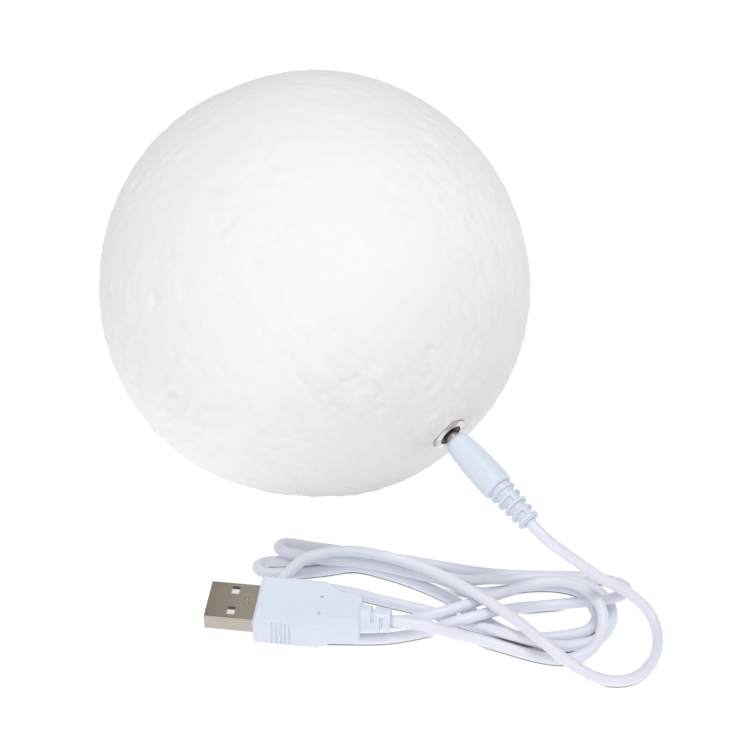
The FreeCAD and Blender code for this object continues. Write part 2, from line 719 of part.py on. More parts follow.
def cord_corners():
    """The route's corners, from the face of one strain relief to the face of the other.

    The first and last corners are brought onto the lines of the two plugs, so that the
    cord leaves both square to their faces.
    """
    start = LAMP.multVec(Vec(0, 0, size(f"{TAIL} + relief_length")))
    finish = USB.multVec(Vec(size("usb_reach + usb_grip_length + usb_relief_length"), 0, 0))
    corners = [Vec(*corner) for corner in CORD_ROUTE]
    for place, face, way in ((0, start, LAMP.Rotation.multVec(Vec(0, 0, 1))),
                             (-1, finish, USB.Rotation.multVec(Vec(1, 0, 0)))):
        corners[place] = face + way * (corners[place] - face).dot(way)
    return [start] + corners + [finish]


def runs_and_arcs(corners):
    """Straight runs joined by tangent arcs, and the bend radius at each corner."""
    edges, radii, last = [], [], corners[0]
    for before, here, after in zip(corners, corners[1:], corners[2:]):
        back, ahead = before - here, after - here
        reach = ARC_SHARE * min(back.Length, ahead.Length)
        half_turn = (math.pi - back.getAngle(ahead)) / 2
        radius = reach / math.tan(half_turn)
        back.normalize()
        ahead.normalize()
        enter, leave = here + back * reach, here + ahead * reach
        middle = (back + ahead).normalize()
        top = here + middle * (radius / math.cos(half_turn) - radius)
        edges += [Part.LineSegment(last, enter).toShape(), Part.Arc(enter, top, leave).toShape()]
        radii.append(radius)
        last = leave
    edges.append(Part.LineSegment(last, corners[-1]).toShape())
    return edges, radii


def sweep(edges):
    """Round tube along tangent edges, checked against section times length."""
    wire = Part.Wire(edges)
    first = edges[0]
    radius = size("cord_diameter") / 2
    start = first.valueAt(first.FirstParameter)
    ring = Part.Wire([Part.makeCircle(radius, start, first.tangentAt(first.FirstParameter))])
    tube = wire.makePipeShell([ring], True, False)
    expected = math.pi * radius ** 2 * wire.Length
    print(f"  tube {wire.Length:.1f} mm long, volume {tube.Volume:.1f} against {expected:.1f}")
    if abs(tube.Volume / expected - 1) > 0.01:
        raise RuntimeError("the cord's tube has the wrong volume")
    return tube


def least_gap(edges):
    """Smallest clear space between two stretches of the cord that aren't neighbours."""
    step = 0.7
    wire_points = []
    for edge in edges:
        count = max(2, int(edge.Length / step) + 1)
        wire_points += edge.discretize(count)[:-1]
    length_apart = 4 * size("cord_diameter")
    skip = int(length_apart / step)
    cell = 2 * size("cord_diameter")
    grid = {}
    for number, point in enumerate(wire_points):
        grid.setdefault((int(point.x // cell), int(point.y // cell)), []).append(number)
    best = (1e9, None, None)
    for number, point in enumerate(wire_points):
        column, line = int(point.x // cell), int(point.y // cell)
        for near in ((column + i, line + j) for i in (-1, 0, 1) for j in (-1, 0, 1)):
            for other in grid.get(near, ()):
                if other - number > skip:
                    distance = (wire_points[other] - point).Length
                    if distance < best[0]:
                        best = (distance, point, wire_points[other])
    return best[0] - size("cord_diameter"), best[1], best[2]


def make_cord():
    """The stretch that moves with the plug at the lamp, and the loops on the table."""
    edges, radii = runs_and_arcs(cord_corners())
    print("cord bend radii:", " ".join(f"{radius:.1f}" for radius in radii))
    gap, here, there = least_gap(edges)
    print(f"cord: {sum(edge.Length for edge in edges):.1f} mm, least gap to itself {gap:.2f} mm "
          f"at {here.x:.0f},{here.y:.0f},{here.z:.1f} and {there.x:.0f},{there.y:.0f},{there.z:.1f}")
    cut_edge = edges[2 * LEAD_RUNS]
    ends = [cut_edge.valueAt(cut_edge.FirstParameter), cut_edge.valueAt(cut_edge.LastParameter)]
    along = (ends[1] - ends[0]).normalize() * (size("cord_joint_gap") / 2)
    middle = (ends[0] + ends[1]) / 2
    lead = edges[:2 * LEAD_RUNS] + [Part.LineSegment(ends[0], middle - along).toShape()]
    loops = [Part.LineSegment(middle + along, ends[1]).toShape()] + edges[2 * LEAD_RUNS + 1:]
    pieces = []
    for name, part_edges in (("cord_lead_tube", lead), ("cord_loops_tube", loops)):
        item = doc.addObject("Part::Feature", name)
        item.Shape = sweep(part_edges)
        pieces.append(item)
    return pieces


# ---------------------------------------------------------------------------- USB plug
def rounded_bar(name, length, width, height, corner, x):
    """Bar along X, centred on the line, with its long edges rounded."""
    bar = box(name + "_blank", length, width, height, USB, x=x, z=f"-({height})/2")
    doc.recompute()
    edges = [number for number, edge in enumerate(bar.Shape.Edges, start=1)
             if abs(edge.Length - size(length)) < 1e-4]
    item = doc.addObject("Part::Fillet", name)
    item.Base = bar
    item.Edges = [(number, size(corner), size(corner)) for number in edges]
    return item


def make_usb_shell():
    outer = rounded_bar("shell_outer", "usb_reach + usb_root", "usb_width", "usb_height", "usb_corner", "0")
    inner = rounded_bar("shell_inner", "usb_reach + usb_root + 2", "usb_width - 2*usb_wall",
                        "usb_height - 2*usb_wall", "usb_corner - usb_wall/2", "-1")
    windows = [box(f"window_{name}", "window_along", "window_across", "usb_height + 2", USB,
                   x="window_place - window_along/2", y=f"{side}*window_spread", z="-usb_height/2 - 1")
               for name, side in (("left", -1), ("right", 1))]
    return cut("shell_piece", outer, inner, *windows)


TONGUE_FLOOR = "(usb_height/2 - usb_wall - tongue_thickness)"


def make_usb_tongue():
    return box("tongue_blank", "usb_reach + usb_root - tongue_setback", "usb_width - 2*usb_wall - tongue_play",
               "tongue_thickness", USB, x="tongue_setback", z=TONGUE_FLOOR)


def make_usb_contacts():
    contacts = []
    for number, place in enumerate((-1.4, -0.4, 0.4, 1.4)):
        longer = "1" if abs(place) > 1 else "0"
        contacts.append(box(f"contact_{number}", f"contact_length + {longer}", "contact_width",
                            "contact_thickness", USB, x=f"tongue_setback + 1.6 - {longer}",
                            y=f"{place}*contact_pitch", z=f"{TONGUE_FLOOR} - contact_thickness"))
    return group("contacts_group", contacts)


def make_usb_grip():
    """Moulded grip: a wide front, shoulders that curve in, and a narrow neck."""
    body = doc.addObject("PartDesign::Body", "usb_grip_body")
    wide, neck = "usb_grip_width/2", "usb_neck_width/2"
    front, shoulder = "usb_reach", "(usb_reach + usb_shoulder)"
    start, back = "(usb_reach + usb_neck_start)", "(usb_reach + usb_grip_length)"
    bend = []
    for share in (0.25, 0.5, 0.75):
        drop = 0.5 - 0.5 * math.cos(math.pi * share)
        bend.append((f"{shoulder} + {share}*({start} - {shoulder})", f"{wide} - {drop}*({wide} - {neck})"))
    half = [(front, wide), (shoulder, wide)] + bend + [(start, neck), (back, neck)]
    mirror = [(x, f"-({y})") for x, y in reversed(half)]
    sketch = outline(body, "usb_grip_outline", "XY_Plane", half + mirror)
    pad = body.newObject("PartDesign::Pad", "usb_grip_pad")
    pad.Profile = sketch
    pad.setExpression("Length", link("usb_grip_height"))
    pad.Midplane = True
    doc.recompute()
    edges = []
    for number, edge in enumerate(pad.Shape.Edges, start=1):
        along_top = abs(abs(edge.CenterOfMass.z) - size("usb_grip_height/2")) < 1e-4
        upright = abs(edge.CenterOfMass.z) < 1e-4
        corner = upright and (abs(edge.CenterOfMass.x - size(front)) < 1e-4
                              or abs(edge.CenterOfMass.x - size(back)) < 1e-4)
        if along_top or corner:
            edges.append(f"Edge{number}")
    rounded = body.newObject("PartDesign::Fillet", "usb_grip_fillet")
    rounded.Base = (pad, edges)
    rounded.setExpression("Radius", link("usb_grip_round"))
    body.Placement = USB
    doc.recompute()
    seat = box("usb_seat", "usb_root + 1", "usb_width", "usb_height", USB, x="usb_reach - 1",
               z="-usb_height/2")
    grooves = []
    for number in range(int(size("usb_groove_count"))):
        for name, side in (("left", -1), ("right", 1)):
            grooves.append(box(
                f"groove_{name}_{number}", "usb_groove_width", "2*usb_groove_depth", "usb_grip_height + 2",
                USB, x=f"usb_reach + usb_groove_place + {number}*usb_groove_pitch",
                y=f"{side}*{wide}", z="-usb_grip_height/2 - 1"))
    dimples = [cylinder(f"dimple_{name}", "dimple_radius", "dimple_depth + 1",
                        shifted(USB, size("usb_reach + dimple_place"), side * size("dimple_spread"),
                                size("usb_grip_height/2 - dimple_depth")))
               for name, side in (("left", -1), ("right", 1))]
    return cut("usb_grip_piece", body, seat, *grooves, *dimples)


def make_usb_relief():
    """Short sleeve, slotted from either side in turn, with a round core."""
    start = "(usb_reach + usb_grip_length)"
    core = cylinder("relief_core", "usb_relief_floor", "usb_relief_length",
                    shifted(USB, x=size(start), turn=ALONG_X))
    sleeve = turned("relief_sleeve", [
        ("0", start),
        ("usb_relief_radius", start),
        ("usb_relief_radius", f"{start} + 0.92*usb_relief_length"),
        ("usb_relief_radius - 0.5", f"{start} + usb_relief_length"),
        ("0", f"{start} + usb_relief_length"),
    ], shifted(USB, turn=ALONG_X))
    slots = []
    for number, share in enumerate((0.16, 0.36, 0.56, 0.76)):
        side = 1 if number % 2 else -1
        slots.append(box(f"relief_slot_{number}", "usb_slot_width", "2*usb_relief_radius",
                         "2*usb_relief_radius + 2", USB,
                         x=f"{start} + {share}*usb_relief_length - usb_slot_width/2",
                         y=f"{side}*(usb_relief_radius - usb_slot_spine)", z="-usb_relief_radius - 1"))
    return fuse("relief_piece", core, cut("relief_slotted", sleeve, *slots))


# ------------------------------------------------------------------------- all sub-parts
node("moon_globe", make_globe())
node("bottom_cap", make_cap())
node("touch_ring", make_touch_ring())
node("ring_nut", make_ring_nut())
node("touch_lug", make_touch_lug())
node("jack_housing", make_jack_housing())
node("jack_pin", make_jack_pin())
node("jack_tags", make_jack_tags())
node("module_cup", make_cup())
node("cup_screws", make_screws("cup_screw", FLANGE_BACK, "flange_thickness + screw_reach",
                               list(around(size("screw_count"), size("screw_circle"), size("screw_turn")))))
node("control_board", make_control_board())
node("board_chips", make_board_chips())
node("battery_cell", make_battery_cell())
node("battery_pad", make_battery_pad())
node("battery_leads", make_battery_leads())
node("touch_wire", make_touch_wire())
node("light_board", make_light_board())
node("lights", make_lights())
node("light_screws", make_screws("light_screw", "cup_bottom - light_board_thickness",
                                 "light_board_thickness + cup_wall",
                                 list(around(2, size("light_screw_circle")))))
node("light_wires", make_light_wires())
node("plug_grip", make_plug_grip())
node("plug_barrel", make_tube("barrel_body", "barrel_radius", "barrel_wall", "0"))
node("plug_insulator", make_tube("insulator_body", "(barrel_radius - barrel_wall)", "insulator_wall", "0.3"))
node("plug_contact", make_tube("plug_contact_body", "(barrel_radius - barrel_wall - insulator_wall)",
                               "contact_wall", "0.3"))
node("plug_strain_relief", make_plug_relief())
lead, loops = make_cord()
node("cord_lead", lead)
node("cord_loops", loops)
node("usb_shell", make_usb_shell())
node("usb_tongue", make_usb_tongue())
node("usb_contacts", make_usb_contacts())
node("usb_grip", make_usb_grip())
node("usb_strain_relief", make_usb_relief())

doc.recompute()
faults = [item.Name for item in doc.Objects if "Invalid" in item.State or "Error" in item.State]
if faults:
    raise RuntimeError("these objects failed: " + ", ".join(faults))
for name, item in NODES.items():
    shape = item.Shape
    if shape.isNull() or not shape.isValid() or not shape.Solids:
        raise RuntimeError(f"{name} has no valid solid")

os.makedirs("parts", exist_ok=True)
for name, item in NODES.items():
    item.Shape.exportStep(f"parts/{name}.step")
    print(f"{name}: {len(item.Shape.Solids)} solid(s), {item.Shape.Volume:.1f} mm3")
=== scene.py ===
"""Moon lamp: a cratered white globe with a touch ring, its charging plug, cord and USB plug.

Everything is in metres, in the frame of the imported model: the origin is on the table
below the globe's centre, +Z is up and the cord lies on the -Y side.
"""
import json
import math

import bmesh
import bpy
import numpy as np
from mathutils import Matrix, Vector


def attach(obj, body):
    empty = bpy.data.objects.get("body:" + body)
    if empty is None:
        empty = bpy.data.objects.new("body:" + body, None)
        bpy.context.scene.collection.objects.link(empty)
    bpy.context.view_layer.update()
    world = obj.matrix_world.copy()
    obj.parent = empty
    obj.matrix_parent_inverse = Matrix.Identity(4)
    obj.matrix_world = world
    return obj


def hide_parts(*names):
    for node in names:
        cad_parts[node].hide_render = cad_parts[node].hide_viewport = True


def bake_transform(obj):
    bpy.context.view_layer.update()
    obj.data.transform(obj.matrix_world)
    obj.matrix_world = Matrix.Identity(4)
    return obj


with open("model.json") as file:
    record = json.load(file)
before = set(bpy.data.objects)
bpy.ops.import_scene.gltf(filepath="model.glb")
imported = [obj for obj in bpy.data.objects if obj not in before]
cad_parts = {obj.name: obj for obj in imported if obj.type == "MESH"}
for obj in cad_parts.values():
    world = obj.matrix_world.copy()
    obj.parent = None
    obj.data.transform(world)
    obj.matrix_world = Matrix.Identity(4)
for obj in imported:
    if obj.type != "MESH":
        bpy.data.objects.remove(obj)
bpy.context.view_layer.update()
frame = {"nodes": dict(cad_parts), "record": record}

MM = 0.001

# --------------------------------------------------------------- sizes shared with CAD
GLOBE_RADIUS = 55.0 * MM
GLOBE_WALL = 2.8 * MM
GLOBE_CENTRE = np.array([0.0, 0.0, 54.0]) * MM
CAP_EDGE = math.radians(32.1)    # the cap's edge, as an angle from the jack's line
JACK_TURN = math.radians(39.5)
JACK_DIP = math.radians(15.0)
RING_RECESS = 4.75 * MM
CORD_DIAMETER = 2.8 * MM
USB_TURN = math.radians(-7.0)
USB_OPENING = np.array([-25.4, -67.3, 7.1]) * MM

JACK_WAY = np.array([math.sin(JACK_TURN) * math.cos(JACK_DIP),
                     -math.cos(JACK_TURN) * math.cos(JACK_DIP),
                     -math.sin(JACK_DIP)])
JACK_SIDE = np.array([math.cos(JACK_TURN), math.sin(JACK_TURN), 0.0])
JACK_UP = np.cross(JACK_WAY, JACK_SIDE)
USB_AXIS = np.array([math.cos(USB_TURN), math.sin(USB_TURN), 0.0])
USB_ACROSS = np.array([-math.sin(USB_TURN), math.cos(USB_TURN), 0.0])

# ------------------------------------------------------------- the cord's route, in mm
CORD_START = GLOBE_CENTRE / MM + JACK_WAY * (55.6 + 1.5 + 17.0 + 11.4)
CORD_FINISH = USB_OPENING / MM + USB_AXIS * 45.1
CORD_ROUTE = [
    # down from the plug to the table and round the outer loop
    (56.6, -68.6, 30.0), (62.3, -69.6, 26.0), (70.1, -66.9, 15.9), (77.5, -64.2, 8.6), (83.6, -65.3, 3.2),
    (85.4, -72.4, 1.4), (83.5, -80.6, 1.4), (77.8, -86.8, 1.4), (70.8, -87.2, 1.5),
    # back across the top of the bundle
    (64.0, -86.1, 4.6), (56.2, -81.0, 8.2), (50.6, -74.6, 8.4), (45.0, -69.1, 8.6), (37.7, -63.1, 8.6),
    (30.9, -58.1, 8.5), (23.1, -54.0, 8.5), (14.2, -51.0, 8.6), (4.9, -50.4, 8.8), (-2.6, -52.8, 8.2),
    (-6.4, -54.9, 5.3),
    # first turn, under the USB plug
    (-10.4, -58.9, 2.2), (-13.2, -63.6, 1.4), (-13.0, -69.8, 1.4), (-8.0, -73.4, 1.4), (0.0, -73.2, 1.4),
    (10.8, -73.6, 1.4), (18.2, -73.5, 1.4), (24.3, -72.2, 1.4), (29.3, -70.8, 1.4),
    (33.2, -71.2, 4.2), (38.8, -70.3, 5.5), (44.4, -68.0, 5.2), (50.4, -64.1, 2.2), (58.0, -62.5, 1.4),
    (64.7, -62.4, 2.2), (69.3, -64.7, 5.4), (74.6, -64.1, 5.7),
    # fold at the right, then along the back
    (78.2, -61.4, 4.8), (78.9, -57.7, 3.2), (76.3, -54.6, 1.8), (71.6, -53.0, 1.4), (65.0, -52.3, 1.4),
    (54.5, -52.3, 1.4), (42.3, -51.3, 1.4), (30.9, -48.4, 1.4), (18.1, -45.6, 1.4), (5.2, -43.0, 1.4),
    (-1.6, -41.9, 1.4),
    # upper fold at the left
    (-6.6, -40.8, 1.8), (-9.0, -42.4, 2.8), (-9.3, -45.3, 4.2), (-7.0, -47.5, 4.9), (-3.6, -48.7, 4.9),
    (0.4, -49.6, 4.9),
    (5.4, -50.3, 5.0), (11.7, -50.7, 4.9), (18.6, -52.3, 4.8), (25.7, -55.0, 5.0), (33.2, -55.9, 3.9),
    (39.6, -58.3, 1.4), (46.6, -57.9, 1.4), (53.4, -55.7, 1.4), (61.0, -55.6, 1.4),
    # inner loop at the right
    (67.0, -57.3, 1.4), (70.4, -61.3, 1.4), (71.0, -66.3, 1.4), (68.6, -70.7, 1.4), (63.5, -72.3, 1.4),
    (57.8, -73.2, 1.4), (51.7, -73.5, 1.4), (46.2, -70.4, 1.4), (41.6, -66.4, 1.4), (37.1, -62.4, 1.4),
    (31.9, -58.3, 1.4), (24.6, -54.1, 1.4), (17.0, -50.9, 1.4), (10.4, -48.6, 1.4), (4.0, -50.2, 1.4),
    (-2.3, -51.1, 1.4),
    # lower fold at the left
    (-8.0, -53.0, 3.0), (-12.0, -53.5, 3.6), (-14.3, -51.9, 3.1), (-14.5, -49.1, 2.1), (-12.4, -47.2, 1.4),
    (-8.0, -47.0, 1.4),
    (-2.2, -47.1, 1.4), (4.4, -46.5, 2.6), (11.2, -46.3, 4.2), (19.0, -48.6, 3.4), (26.2, -51.2, 1.4),
    (33.3, -52.5, 1.4),
    (38.8, -54.6, 1.9), (43.5, -55.7, 4.0), (48.7, -57.0, 5.1), (55.0, -56.4, 5.2), (61.5, -56.1, 5.2),
    # outer loop at the right
    (67.3, -57.8, 5.0), (72.3, -60.6, 4.0), (74.8, -63.1, 1.4), (74.1, -69.6, 1.4), (70.1, -73.9, 1.4),
    (65.5, -75.6, 1.4), (60.2, -76.2, 1.6), (54.6, -76.2, 3.4), (48.5, -74.7, 4.4), (43.0, -71.5, 2.9),
    (37.8, -68.6, 1.4), (32.9, -66.0, 1.4), (26.8, -63.6, 1.4), (19.3, -61.4, 1.4), (11.7, -58.7, 1.4),
    (5.4, -57.0, 1.4),
    # second turn, under the USB plug
    (-1.2, -55.9, 1.4), (-5.6, -59.6, 1.4), (-4.6, -65.4, 1.4), (0.6, -68.6, 1.4), (7.0, -68.2, 1.4),
    (12.6, -67.4, 1.4), (18.2, -67.7, 1.4),
    (24.2, -68.6, 2.8), (29.3, -69.4, 5.5), (35.9, -67.1, 5.5), (41.6, -64.2, 5.3), (47.9, -61.6, 5.3),
    # top loop at the right
    (54.2, -59.9, 6.4), (60.6, -59.7, 7.6), (66.3, -62.1, 8.4), (69.7, -66.8, 9.0), (71.3, -71.2, 8.4),
    (70.9, -74.8, 6.2), (69.4, -77.3, 3.4), (65.9, -79.3, 1.6), (60.4, -80.6, 1.4), (53.2, -78.8, 1.4),
    # along the front and up to the USB plug
    (46.1, -75.8, 1.4), (39.3, -74.0, 2.4), (32.8, -74.8, 5.4), (26.5, -73.7, 7.1),
]


# ------------------------------------------------------------------------- mesh helpers
def new_piece(name, points, faces, smooth=True):
    """A mesh object from an array of points and an array of faces."""
    mesh = bpy.data.meshes.new(name)
    mesh.from_pydata(points.tolist(), [], faces if isinstance(faces, list) else faces.tolist())
    mesh.validate()
    mesh.polygons.foreach_set("use_smooth", [smooth] * len(mesh.polygons))
    mesh.update()
    piece = bpy.data.objects.new(name, mesh)
    bpy.context.scene.collection.objects.link(piece)
    return piece


def grid_faces(rows, columns):
    """Quads between neighbouring rows of a grid whose columns close on themselves."""
    row, column = np.meshgrid(np.arange(rows - 1), np.arange(columns), indexing="ij")
    after = (column + 1) % columns
    return np.stack([row * columns + column, row * columns + after,
                     (row + 1) * columns + after, (row + 1) * columns + column], axis=-1).reshape(-1, 4)


def joined_faces(rows, columns):
    """As grid_faces, with the last row joined to the first as well."""
    ring = np.arange(columns)
    after = (ring + 1) % columns
    last = (rows - 1) * columns
    closing = np.stack([last + ring, last + after, after, ring], axis=1)
    return np.vstack([grid_faces(rows, columns), closing])


def closed_grid(rows_of_points):
    """Points and faces of a tube-like grid whose first and last rows close on a pole."""
    rows, columns = rows_of_points.shape[:2]
    points = rows_of_points.reshape(-1, 3)
    faces = grid_faces(rows, columns).tolist()
    first, last = len(points), len(points) + 1
    points = np.vstack([points, rows_of_points[0].mean(axis=0), rows_of_points[-1].mean(axis=0)])
    ring = np.arange(columns)
    after = (ring + 1) % columns
    end = (rows - 1) * columns
    faces += np.stack([np.full(columns, first), after, ring], axis=1).tolist()
    faces += np.stack([np.full(columns, last), end + ring, end + after], axis=1).tolist()
    return points, faces


def tidy(piece):
    """Merge doubled points at poles and turn every face outwards."""
    work = bmesh.new()
    work.from_mesh(piece.data)
    bmesh.ops.remove_doubles(work, verts=work.verts, dist=1e-7)
    bmesh.ops.dissolve_degenerate(work, edges=work.edges, dist=1e-8)
    bmesh.ops.recalc_face_normals(work, faces=work.faces)
    work.to_mesh(piece.data)
    work.free()


def soften(piece, degrees):
    """Shade smooth, but keep edges sharper than the given angle."""
    work = bmesh.new()
    work.from_mesh(piece.data)
    for edge in work.edges:
        edge.smooth = len(edge.link_faces) != 2 or edge.calc_face_angle() < math.radians(degrees)
    work.to_mesh(piece.data)
    work.free()


# --------------------------------------------------------------------------------- cord
def cord_line():
    """The cord's centre line, read from a smooth spline whose control points are the route."""
    route = np.vstack([CORD_START, np.array(CORD_ROUTE), CORD_FINISH]) * MM
    curve = bpy.data.curves.new("cord_route", "CURVE")
    curve.dimensions = "3D"
    curve.resolution_u = 10
    spline = curve.splines.new("NURBS")
    spline.points.add(len(route) - 1)
    spline.points.foreach_set("co", np.hstack([route, np.ones((len(route), 1))]).ravel())
    spline.order_u = 3
    spline.use_endpoint_u = True
    carrier = bpy.data.objects.new("cord_route", curve)
    mesh = bpy.data.meshes.new_from_object(carrier)
    line = np.empty(len(mesh.vertices) * 3)
    mesh.vertices.foreach_get("co", line)
    bpy.data.objects.remove(carrier)
    bpy.data.meshes.remove(mesh)
    bpy.data.curves.remove(curve)
    return line.reshape(-1, 3)


def tube(line, radius, sides):
    """Round tube along a line.

    Point (s, a) = line(s) + radius * (cos a * side(s) + sin a * rise(s)), where side is
    level and square to the line, and rise is square to both.
    """
    ahead = np.gradient(line, axis=0)
    ahead /= np.linalg.norm(ahead, axis=1, keepdims=True)
    side = np.cross(ahead, [0.0, 0.0, 1.0])
    side /= np.linalg.norm(side, axis=1, keepdims=True)
    rise = np.cross(side, ahead)
    angle = np.linspace(0, 2 * math.pi, sides, endpoint=False)[None, :, None]
    return line[:, None] + radius * (np.cos(angle) * side[:, None] + np.sin(angle) * rise[:, None])


CORD_SIDES = 20


def make_cord():
    """The whole cord as one tube, from the charging plug's sleeve to the USB plug's."""
    line = cord_line()
    points, faces = closed_grid(tube(line, CORD_DIAMETER / 2, CORD_SIDES))
    cord = new_piece("charging_cord", points, faces)
    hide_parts("cord_lead", "cord_loops")
    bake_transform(cord)
    return cord


# -------------------------------------------------------------------------------- plugs
PLUG_NOSE = 57.1 * MM            # globe's centre to the nose of the charging plug's grip
GRIP_LENGTH = 17.0 * MM
SLEEVE_LENGTH = 11.4 * MM
SLEEVE_RINGS = 5
PLUG_SIDES = 72                  # sides of the round pieces of both plugs
# the charging plug's sleeve: lengths in mm, then places counted in distances between rings,
# then the ribs' height as a share of the rings' and their turn in degrees
PLUG_SLEEVE = {
    "core": 2.72, "taper": 0.7, "stand": 0.80, "end_radius": 2.2, "end_slope": 3, "overlap": 0.3,
    "ring_at": 0.72, "ring_half": 0.17, "ring_edge": 0.03, "shift": 0.28, "ribs_from": 0.9,
    "rib_height": 0.75, "rib_half": 20, "rib_edge": 5,
}
# the grip's outline, as height behind its nose and radius in mm
GRIP_OUTLINE = [
    (0.0, 1.9), (0.05, 2.3), (0.25, 2.62), (0.7, 2.95), (1.4, 3.2), (2.6, 3.42), (4.5, 3.62), (7.0, 3.8),
    (10.0, 3.93), (14.0, 4.0), (15.9, 3.97), (16.5, 3.85), (16.85, 3.6), (17.0, 3.2),
]


def along_jack(start, heights, radii, sides):
    """Rows of points round the jack's line: start + height along it, and a radius there.

    radii is one number per row, or one per row and side.
    """
    angle = np.linspace(0, 2 * math.pi, sides, endpoint=False)[None, :, None]
    round_it = np.cos(angle) * JACK_SIDE + np.sin(angle) * JACK_UP
    heights = np.asarray(heights)[:, None, None]
    radii = np.asarray(radii).reshape(len(heights), -1, 1)
    return GLOBE_CENTRE + JACK_WAY * (start + heights) + radii * round_it


def make_plug_body():
    """The charging plug's grip, thinner towards a rounded nose."""
    outline = np.array(GRIP_OUTLINE) * MM
    share = np.linspace(0, 1, 60)
    distance = np.concatenate([[0], np.cumsum(np.linalg.norm(np.diff(outline, axis=0), axis=1))])
    heights = np.interp(share * distance[-1], distance, outline[:, 0])
    radii = np.interp(share * distance[-1], distance, outline[:, 1])
    points, faces = closed_grid(along_jack(PLUG_NOSE, heights, radii, PLUG_SIDES))
    grip = new_piece("plug_body", points, faces)
    tidy(grip)
    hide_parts("plug_grip")
    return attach(grip, "charging_plug")


def make_plug_sleeve():
    """Tapered strain relief with thin rings, joined by ribs on one side and then the other.

    radius = core(h) + stand * max(ring(h), rib_height * rib(h, angle)), where ring is 1 on
    each ring and rib is 1 on the side whose turn it is, down to 0 at rib_half degrees from it.
    Towards the far end the radius stays within a steep cone.
    """
    size = PLUG_SLEEVE
    heights = np.linspace(0, 1, 300)
    angle = np.linspace(0, 2 * math.pi, PLUG_SIDES, endpoint=False)[None, :]
    core = (size["core"] - size["taper"] * heights) * MM
    beat = heights * SLEEVE_RINGS
    across_ring = np.abs(beat % 1 - size["ring_at"])
    ring = np.clip((size["ring_half"] - across_ring) / size["ring_edge"], 0, 1)[:, None]
    turn = np.where(np.floor(beat + size["shift"]) % 2 == 0, 0.5 * math.pi, 1.5 * math.pi)[:, None]
    away = np.abs((angle - turn + math.pi) % (2 * math.pi) - math.pi)
    rib = np.clip((math.radians(size["rib_half"]) - away) / math.radians(size["rib_edge"]), 0, 1)
    rib = rib * (beat[:, None] > size["ribs_from"])
    radii = core[:, None] + size["stand"] * MM * np.maximum(ring, size["rib_height"] * rib)
    room = (heights[::-1, None] * SLEEVE_LENGTH) * size["end_slope"] + size["end_radius"] * MM
    radii = np.minimum(radii, room)
    overlap = size["overlap"] * MM
    start = PLUG_NOSE + GRIP_LENGTH - overlap
    rows = along_jack(start, heights * (SLEEVE_LENGTH + overlap), radii, PLUG_SIDES)
    points, faces = closed_grid(rows)
    sleeve = new_piece("plug_sleeve", points, faces)
    tidy(sleeve)
    soften(sleeve, 40)
    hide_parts("plug_strain_relief")
    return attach(sleeve, "charging_plug")


# the USB grip and the grooves in its sides, in mm
USB_GRIP = {"start": 12.1, "length": 25.8, "half_height": 3.87, "front": 7.95, "shoulder": 8.1,
            "neck": 5.1, "bend_from": 15.4, "bend_to": 21.4, "round": 1.15, "least_corner": 0.12}
GRIP_GROOVES = {"first": 5.0, "pitch": 1.07, "count": 5, "half_width": 0.26, "depth": 0.32}


def usb_point(along, across, up):
    """Place in the frame of a point given in mm along the USB plug, across it and up."""
    along, across, up = (np.asarray(value, float)[..., None] for value in (along, across, up))
    return USB_OPENING + (USB_AXIS * along + USB_ACROSS * across + np.array([0, 0, 1.0]) * up) * MM


def rounded_section(half_width, half_height, corner, steps):
    """Corner arcs and straight sides of a rounded rectangle, as (across, up) pairs."""
    pairs = []
    for quarter, (across, up) in enumerate(((1, 1), (-1, 1), (-1, -1), (1, -1))):
        turn = np.linspace(0, 0.5 * math.pi, steps) + quarter * 0.5 * math.pi
        pairs.append(np.stack([across * (half_width - corner) + corner * np.cos(turn),
                               up * (half_height - corner) + corner * np.sin(turn)], axis=1))
        ahead = ((-1, 1), (-1, -1), (1, -1), (1, 1))[quarter]
        low = pairs[-1][-1]
        reach = [half_width - corner, half_height - corner]
        high = low + np.array([ahead[0] - across, ahead[1] - up]) * reach
        pairs.append(low + (high - low) * np.linspace(0, 1, 8)[1:-1, None])
    return np.vstack(pairs)


